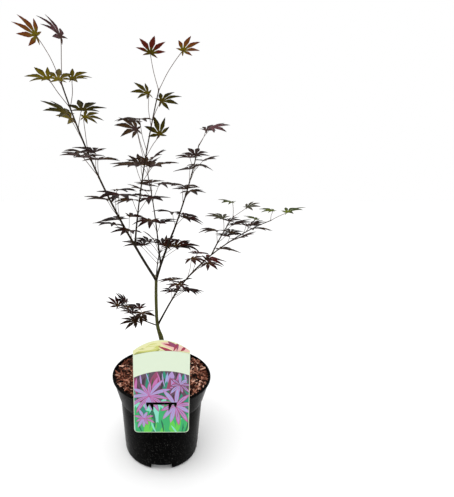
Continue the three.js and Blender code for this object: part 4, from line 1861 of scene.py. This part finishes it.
@dataclass
class Foliage:
    """One mass: a shoot that grows on from its limb, with stalks, buds and leaves."""

    name: str
    on: str
    at: float
    shoot: Shoot
    seed: int
    leaf_size: float
    spread: float = 37.0
    stem_step: float = 25.0
    upward: float = 0.3
    old_blade: float = 43.0
    young_blade: float = 34.0
    size_spread: float = 0.12
    heading_spread: float = 34.0
    old_nod: float = 4.0
    young_nod: float = -34.0
    nod_spread: float = 8.0
    roll_spread: float = 10.0
    stem_sides: int = 10
    stem_rings: float = 0.8  # for each millimetre
    node_swell: tuple[float, float] = (0.14, 1.5)  # rise and length of a stem's swelling at a pair
    stem_relief: tuple[float, float] = (0.06, 0.8)  # depth and width of its ridges
    stalk_radius: float = 0.5
    stalk_sides: int = 6
    stalk_steps: int = 14
    stalk_bow: float = 0.045  # for each unit of length
    stalk_turn: float = 1.5  # how far it runs on under the blade
    foot_swell: tuple[float, float] = (0.9, 1.8)  # rise, and how far it fades
    top_swell: tuple[float, float, float] = (0.25, 0.85, 0.1)  # rise, where it begins, how long it is
    bud_width: float = 0.42  # for each unit of length
    bud_rise: float = 0.8  # how far up the stalk a side bud sits
    side_bud: tuple[float, float] = (1.8, 2.6)
    tip_bud: float = 3.0
    spurs: int = 2  # smaller leaves beside each pair
    spur_limit: float = 0.8  # share of a shoot up to which pairs have them
    spur_turns: tuple[float, ...] = (90.0, 62.0, 118.0, 40.0, 140.0)
    spur_stalk: float = 0.72
    spur_size: float = 0.9
    spur_gap: float = 2.6
    blade: LeafBlade = LeafBlade()
    wood: Heap = field(default_factory=Heap)
    leaves: Heap = field(default_factory=Heap)

    def stem(self, path: list[Vector], shoot: Shoot) -> None:
        """Add a shoot's stem, with a swelling at each pair of leaves.

        Args:
            path: its line.
            shoot: the shoot.
        """
        limb = shoot.limb
        nodes = [pair.at * limb.length for pair in shoot.pairs]
        rise, length = self.node_swell

        def radius(share: float, _: float) -> float:
            """Give the stem's radius at a share of its length."""
            swell = rise * swelling(share * limb.length, nodes, length)
            return lerp(limb.butt, limb.tip, share) * (1.0 + swell)

        line = smooth_line(path, int(limb.length * self.stem_rings))
        points, form = bent_rod(line, self.stem_sides, radius)
        self.wood.add(roughened(points, line, *self.stem_relief), form, [SHOOT_BARK])

    def stalk(self, start: Vector, hub: Vector, forward: Vector, draws: Draws) -> None:
        """Add a leaf stalk: swollen at its foot, slightly bowed and turned over into the blade.

        Args:
            start: where it leaves the stem.
            hub: the top of the stalk, under the blade.
            forward: the blade's midline.
            draws: the seeded numbers.
        """
        length = (hub - start).length
        bow = Vector((draws.vary(1.0), draws.vary(1.0), 0.5)) * (self.stalk_bow * length)
        middle = start.lerp(hub, 0.5) + bow
        line = smooth_line([start, middle, hub, hub + forward * self.stalk_turn], self.stalk_steps)
        rise, fade = self.foot_swell
        crown, begin, room = self.top_swell

        def radius(share: float, _: float) -> float:
            """Give the stalk's radius at a share of its length."""
            foot, top = rise * math.exp(-share * length / fade), crown * smooth((share - begin) / room)
            return self.stalk_radius * (1.0 + foot + top)

        self.wood.add(*bent_rod(line, self.stalk_sides, radius), [STALK_SKIN])

    def bud(self, place: Vector, aim: Vector, size: float) -> None:
        """Add a pointed bud.

        Args:
            place: its foot.
            aim: where it points.
            size: its length.
        """
        form = bud_form()
        shape = Vector((self.bud_width, self.bud_width, 1.0)) * size
        self.wood.add(aimed(form.points, place, aim, shape), form, [BUD_SCALE])

    def posed(self, tangent: Vector, pair: Pair, side: int, size: float, draws: Draws) -> tuple[Vector, Pose]:
        """Draw how one leaf is held, by the same rule and in the same order as the frame's.

        Args:
            tangent: the stem's direction where the leaf leaves it.
            pair: the pair that it belongs to.
            side: 0 for the pair's first leaf and 1 for its second.
            size: its size against a full-grown one.
            draws: the seeded numbers.

        Returns:
            The stalk from its foot to its top, and the blade's pose.
        """
        youth = pair.at**3
        blade = lerp(self.old_blade, self.young_blade, youth) * size
        blade *= 1.0 + draws.vary(self.size_spread)
        heading_offset = draws.vary(self.heading_spread)
        nod = lerp(self.old_nod, self.young_nod, youth) + draws.vary(self.nod_spread)
        roll = draws.vary(self.roll_spread)
        radial = direction(pair.facing + 180.0 * side, 90.0)
        radial = (radial - tangent * radial.dot(tangent)).normalized()
        spread = math.radians(self.spread)
        along = (tangent * math.cos(spread) + radial * math.sin(spread) + UP * self.upward).normalized()
        heading = math.degrees(math.atan2(along.y, along.x)) + heading_offset
        pose = pair.held[side] if pair.held else Pose(heading, nod, roll, blade)
        return along * pair.stalks[side], pose

    def leaf(
        self, place: Vector, stalk: Vector, pose: Pose, coat: Coat, looks: Draws, room: Room, gap: float = 0.0
    ) -> bool:
        """Grow one leaf with its stalk and the bud over it.

        Args:
            place: where it leaves the stem.
            stalk: its stalk, from foot to top.
            pose: how its blade is held.
            coat: its colours.
            looks: the draws of what only shows here.
            room: the space that is taken.
            gap: how far it keeps from that, or 0 for a leaf that stands in the frame too.

        Returns:
            Whether there was room for it.
        """
        hub = place + stalk
        forward = direction(pose.heading, 90.0 + pose.nod)
        aside = UP.cross(forward).normalized()
        turn = Matrix((forward, aside, forward.cross(aside))).transposed()
        turn = turn @ Matrix.Rotation(math.radians(pose.roll), 3, "X")
        points = self.blade.arched(pose.blade, pose.spread, looks) @ np.array(turn).T + np.array(hub)
        if gap and not room.clear(points[::TRIED_EACH], gap):
            return False
        room.take(points[::TAKEN_EACH])
        self.leaves.add(points, self.blade.form(), coat.skins)
        self.stalk(place, hub, forward, looks)
        outward = stalk.normalized()
        self.bud(place + outward * self.bud_rise, outward, looks.between(*self.side_bud))
        return True

    def grow(self, shoot: Shoot, start: Vector, random: Draws, looks: Draws, room: Room) -> None:
        """Grow a shoot with its leaves, and then its twigs.

        Args:
            shoot: the shoot.
            start: where it begins.
            random: the draws that place its leaves.
            looks: the draws of what only shows here.
            room: the space that is taken.
        """
        path = shoot.limb.path(start, math.ceil(shoot.limb.length / self.stem_step))
        self.stem(path, shoot)
        room.take_line(path)
        for pair in shoot.pairs:
            place, tangent = path_at(path, pair.at)
            for side in range(len(pair.stalks)):
                stalk, pose = self.posed(tangent, pair, side, self.leaf_size, random)
                self.leaf(place, stalk, pose, pair.coats[side % len(pair.coats)], looks, room)
        tip, tangent = path_at(path, 1.0)
        self.bud(tip, tangent, self.tip_bud)
        for at, twig in shoot.twigs:
            self.grow(twig, path_at(path, at)[0], random, looks, room)

    def fill(self, shoot: Shoot, start: Vector, looks: Draws, room: Room) -> None:
        """Grow smaller leaves beside each pair of a shoot, turned from it to where there is room.

        Args:
            shoot: the shoot.
            start: where it begins.
            looks: the seeded numbers.
            room: the space that is taken.
        """
        path = shoot.limb.path(start, math.ceil(shoot.limb.length / self.stem_step))
        for pair in shoot.pairs:
            if pair.at > self.spur_limit or pair.held:
                continue
            length = self.spur_stalk * max(pair.stalks)
            level = min(pair.at + (max(pair.stalks) - length) / shoot.limb.length, 1.0)
            place, tangent = path_at(path, level)
            for side in range(self.spurs):
                for turn in self.spur_turns:
                    spur = Pair(pair.at, pair.facing + turn, (length,) * self.spurs, pair.coats)
                    stalk, pose = self.posed(tangent, spur, side, self.spur_size * self.leaf_size, looks)
                    coat = pair.coats[side % len(pair.coats)]
                    if self.leaf(place, stalk, pose, coat, looks, room, self.spur_gap):
                        break
        for at, twig in shoot.twigs:
            self.fill(twig, path_at(path, at)[0], looks, room)

    def build(self) -> None:
        """Set the mass in place of its node."""
        for kind, heap, slot in (("stems", self.wood, "bough_bark"), ("leaves", self.leaves, "leaf")):
            name = f"{self.name}_{kind}"
            set_piece(name, heap.mesh(name), slot, self.name)


@lru_cache(maxsize=None)
def bud_form() -> Form:
    """Make a pointed bud that stands on its foot, one unit long.

    Returns:
        The bud.
    """
    form = bmesh.new()
    bmesh.ops.create_uvsphere(form, u_segments=8, v_segments=6, radius=0.5)
    bmesh.ops.translate(form, vec=(0, 0, 0.5), verts=form.verts)
    for vert in form.verts:
        vert.co.xy *= 1.0 - 0.5 * vert.co.z**2
    return Form.of(form)


C = Coat  # short, so that a pair stays on one line

FOLIAGE = (
    Foliage(
        "foliage_left", "bough_left", 1, seed=2149, leaf_size=1.0,
        shoot=Shoot(
            Limb(-152, 32, 30, -5, 268, 1.9, 1.0),
            (
                Pair(0.03, -60, (22, 42), (C.WINE, C.DARK_WINE)),
                Pair(0.19, 130, (40, 50), (C.BRONZE, C.DARK_WINE)),
                Pair(0.48, 245, (44, 28), (C.GREY, C.BRONZE)),
                Pair(0.63, 120, (58, 58), (C.GOLD, C.MOSS), (Pose(-180, -35, 15, 38), Pose(15, -5, -15, 27))),
                Pair(0.77, 0, (26,), (C.OLIVE,)),
                Pair(0.88, 235, (46, 40), (C.GOLD, C.GOLD), (Pose(-150, 0, 10, 30), Pose(10, -15, -10, 28))),
                Pair(0.98, 250, (12,), (C.GOLD,), (Pose(100, -50, 0, 30),)),
                Pair(
                    1, 130, (73, 58), (C.AMBER, C.MAUVE),
                    (Pose(-180, -33, 50, 34, 0.78), Pose(-150, -42, 12, 33, 0.6)),
                ),
            ),
        ),
    ),
    Foliage(
        "foliage_centre", "bough_centre", 1, seed=2059, leaf_size=0.9,
        shoot=Shoot(
            Limb(-52, 18, 12, 5, 202, 1.3, 0.9),
            (
                Pair(0.04, 165, (25, 32), (C.BRONZE, C.DARK_WINE)),
                Pair(0.3, 160, (30, 34), (C.BRONZE, C.BRONZE)),
                Pair(0.46, 140, (70,), (C.BRONZE,)),
                Pair(
                    0.5, 215, (46, 44), (C.BRONZE, C.OLIVE),
                    (Pose(178, -12, 22, 36), Pose(-150, -62, 30, 30)),
                ),
                Pair(
                    0.74, 120, (54, 42), (C.MOSS, C.OLIVE),
                    (Pose(170, -15, 20, 30), Pose(-10, -15, -20, 31)),
                ),
                Pair(
                    1, 145, (56, 62), (C.FLAME, C.AMBER),
                    (Pose(-80, -32, -10, 31), Pose(-30, -20, -25, 27, 0.85)),
                ),
            ),
        ),
    ),
    Foliage(
        "foliage_back", "bough_back", 1, seed=967, leaf_size=0.9, spurs=4, spur_limit=1.0, spur_size=0.96,
        shoot=Shoot(
            Limb(112, 16, 17, 2, 118, 1.3, 0.9),
            (
                Pair(0.05, 225, (26, 20), (C.WINE, C.DARK_WINE)),
                Pair(0.56, 190, (24, 36), (C.BRONZE, C.GREY)),
                Pair(1, 150, (26, 30), (C.BRONZE, C.WINE)),
            ),
        ),
    ),
    Foliage(
        "foliage_right", "bough_right", 1, seed=1357, leaf_size=0.9, spurs=4, spur_size=0.96,
        shoot=Shoot(
            Limb(40, 8, 27, -8, 172, 1.7, 0.9),
            (
                Pair(0.05, 10, (22, 26), (C.WINE, C.DARK_WINE)),
                Pair(0.31, 240, (34, 34), (C.BRONZE, C.DARK_WINE)),
                Pair(0.56, 100, (34, 34), (C.GREY, C.BRONZE)),
                Pair(0.66, 20, (36,), (C.GREY,)),
                Pair(0.98, 60, (46,), (C.GREY,), (Pose(20, -20, 24, 36, 0.9),)),
                Pair(1, -20, (38,), (C.MAUVE,), (Pose(-8, -6, 26, 36, 0.85),)),
            ),
        ),
    ),
    Foliage(
        "foliage_inner", "trunk", 1, seed=1108, leaf_size=0.85, spread=62.0, spurs=4, spur_limit=1.0,
        shoot=Shoot(
            Limb(80, -10, 20, 8, 50, 1.3, 0.9),
            (
                Pair(0.6, 170, (48, 56), (C.WINE, C.DARK_WINE)),
                Pair(0.75, 162, (40, 40), (C.DARK_WINE, C.WINE)),
                Pair(1, 240, (30, 30), (C.WINE, C.BRONZE)),
            ),
        ),
    ),
    Foliage(
        "foliage_right_sweep", "bough_low_right", 1, seed=315, leaf_size=0.8, spurs=4, spur_size=0.95,
        shoot=Shoot(
            Limb(-18, 50, 27, 52, 252, 1.4, 0.8),
            (
                Pair(0.02, -30, (34, 14), (C.WINE, C.DARK_WINE)),
                Pair(0.05, 150, (30, 26), (C.WINE, C.DARK_WINE)),
                Pair(0.22, 40, (50, 44), (C.CRIMSON, C.WINE)),
                Pair(0.48, -60, (16,), (C.BRONZE,)),
                Pair(0.6, 140, (22, 18), (C.BRONZE, C.GREY)),
                Pair(0.74, 125, (20, 18), (C.GREY, C.BRONZE)),
                Pair(0.84, 130, (24,), (C.GREEN,), (Pose(165, -6, 14, 26),)),
                Pair(
                    1, 110, (36, 32), (C.GREEN, C.GREEN),
                    (Pose(170, -6, 14, 27), Pose(-5, -22, 14, 34, 0.8)),
                ),
            ),
            (
                (
                    0.46,
                    Shoot(
                        Limb(20, 0, 27, 10, 78, 1.3, 0.8),
                        (
                            Pair(0.3, 200, (22, 20), (C.BRONZE, C.DARK_WINE)),
                            Pair(0.6, 190, (24, 20), (C.SLATE, C.GREY)),
                            Pair(
                                1, 180, (26, 30), (C.GREEN, C.SLATE),
                                (Pose(175, -4, 12, 26), Pose(5, -14, 12, 26)),
                            ),
                        ),
                    ),
                ),
            ),
        ),
    ),
    Foliage(
        "foliage_low_left", "trunk", 0.53, seed=1211, leaf_size=0.72, spurs=4, spur_limit=1.0,
        spur_stalk=0.85,
        shoot=Shoot(
            Limb(-149, 0, 63, -12, 70, 1.2, 0.9),
            (
                Pair(0.42, 50, (26, 28), (C.DARK_WINE, C.BRONZE)),
                Pair(1, 160, (24, 18), (C.WINE, C.DARK_WINE)),
            ),
        ),
    ),
)


# Studio


@dataclass
class Studio:
    """A white floor, even white light and the photograph's camera."""

    floor_half: float = 9000.0
    camera_place: tuple[float, float, float] = (0.0, -603.8, 515.3)
    camera_dip: float = 10.863
    focal_pixels: float = 338.2
    frame_size: tuple[int, int] = (454, 497)
    middle: float = 161.5  # where the pot's middle stands across the frame, in pixels
    room_light: float = 1.1
    lamp_place: tuple[float, float, float] = (-500.0, -500.0, 2100.0)
    lamp_size: float = 1500.0
    lamp_power: float = 14.0
    lamp_aim: float = 300.0  # height at which the lamp points
    sensor: float = 36.0
    clip: tuple[float, float] = (20.0, 60000.0)

    def floor(self) -> None:
        """Lay the floor."""
        form = bmesh.new()
        bmesh.ops.create_grid(form, x_segments=1, y_segments=1, size=self.floor_half)
        paper = Finish("white_paper_sweep", "#fafafa", roughness=0.9, specular=0.1, relief=0.0)
        sheet = bpy.data.objects.new("studio_floor", mesh_of(form, "studio_floor", [paper]))
        bpy.context.scene.collection.objects.link(sheet)

    def light(self) -> None:
        """Light the room evenly, with one large soft lamp overhead."""
        world = bpy.data.worlds.new("white_room")
        world.use_nodes = True
        tree = world.node_tree
        tree.nodes.clear()
        seen = add_node(tree, "ShaderNodeBackground", {"Color": (1, 1, 1, 1), "Strength": 1.0})
        glow = add_node(tree, "ShaderNodeBackground", {"Color": (1, 1, 1, 1), "Strength": self.room_light})
        ray = add_node(tree, "ShaderNodeLightPath").outputs["Is Camera Ray"]
        by_ray = {0: ray, 1: glow.outputs["Background"], 2: seen.outputs["Background"]}
        mixed = add_node(tree, "ShaderNodeMixShader", by_ray)
        add_node(tree, "ShaderNodeOutputWorld", {"Surface": mixed.outputs["Shader"]})
        bpy.context.scene.world = world
        lamp = bpy.data.lights.new("soft_overhead_lamp", "AREA")
        lamp.shape = "DISK"
        lamp.size = self.lamp_size * MM
        lamp.energy = self.lamp_power
        stand = bpy.data.objects.new("soft_overhead_lamp", lamp)
        place = Vector(self.lamp_place) * MM
        aim = (UP * self.lamp_aim * MM - place).to_track_quat("-Z", "Y")
        stand.matrix_world = Matrix.Translation(place) @ aim.to_matrix().to_4x4()
        bpy.context.scene.collection.objects.link(stand)

    def camera(self) -> None:
        """Set the camera where the photograph's stood."""
        data = bpy.data.cameras.new("photo_camera")
        data.sensor_width = self.sensor
        longest = max(self.frame_size)
        data.lens = data.sensor_width * self.focal_pixels / longest
        data.shift_x = (self.frame_size[0] / 2 - self.middle) / longest
        data.clip_start, data.clip_end = (reach * MM for reach in self.clip)
        camera = bpy.data.objects.new("photo_camera", data)
        tilt = Matrix.Rotation(math.radians(90.0 - self.camera_dip), 4, "X")
        camera.matrix_world = Matrix.Translation(Vector(self.camera_place) * MM) @ tilt
        bpy.context.scene.collection.objects.link(camera)
        bpy.context.scene.camera = camera

    def build(self) -> None:
        """Set up the floor, the light and the camera."""
        self.floor()
        self.light()
        self.camera()
        bpy.context.scene.view_settings.view_transform = "Standard"
        LOG.info("studio: floor, light and camera")


LOOKS_SEED, SPURS_SEED = 7, 11  # what is added to a mass's seed for its looks and its smaller leaves


def main() -> None:
    """Build the potted maple from its pot to its leaves."""
    logging.basicConfig(level=logging.INFO, format="%(message)s")
    Studio().build()
    pot = NurseryPot()
    pot.build()
    Mulch(pot).build()
    LabelCard().build()
    trunk = Trunk()
    paths = {"trunk": trunk.path()}
    trunk.build(paths["trunk"])
    for bough in BOUGHS:
        start = path_at(paths[bough.on], bough.at)[0]
        paths[bough.name] = bough.limb.path(start, bough.steps)
        bough.build(paths[bough.name])
    room = Room()
    for path in paths.values():
        room.take_line(path)
    starts = {mass.name: path_at(paths[mass.on], mass.at)[0] for mass in FOLIAGE}
    for mass in FOLIAGE:
        looks = Draws(mass.seed + LOOKS_SEED)
        mass.grow(mass.shoot, starts[mass.name], Draws(mass.seed), looks, room)
    for mass in FOLIAGE:
        mass.fill(mass.shoot, starts[mass.name], Draws(mass.seed + SPURS_SEED), room)
        mass.build()


if __name__ == "__main__":
    main()
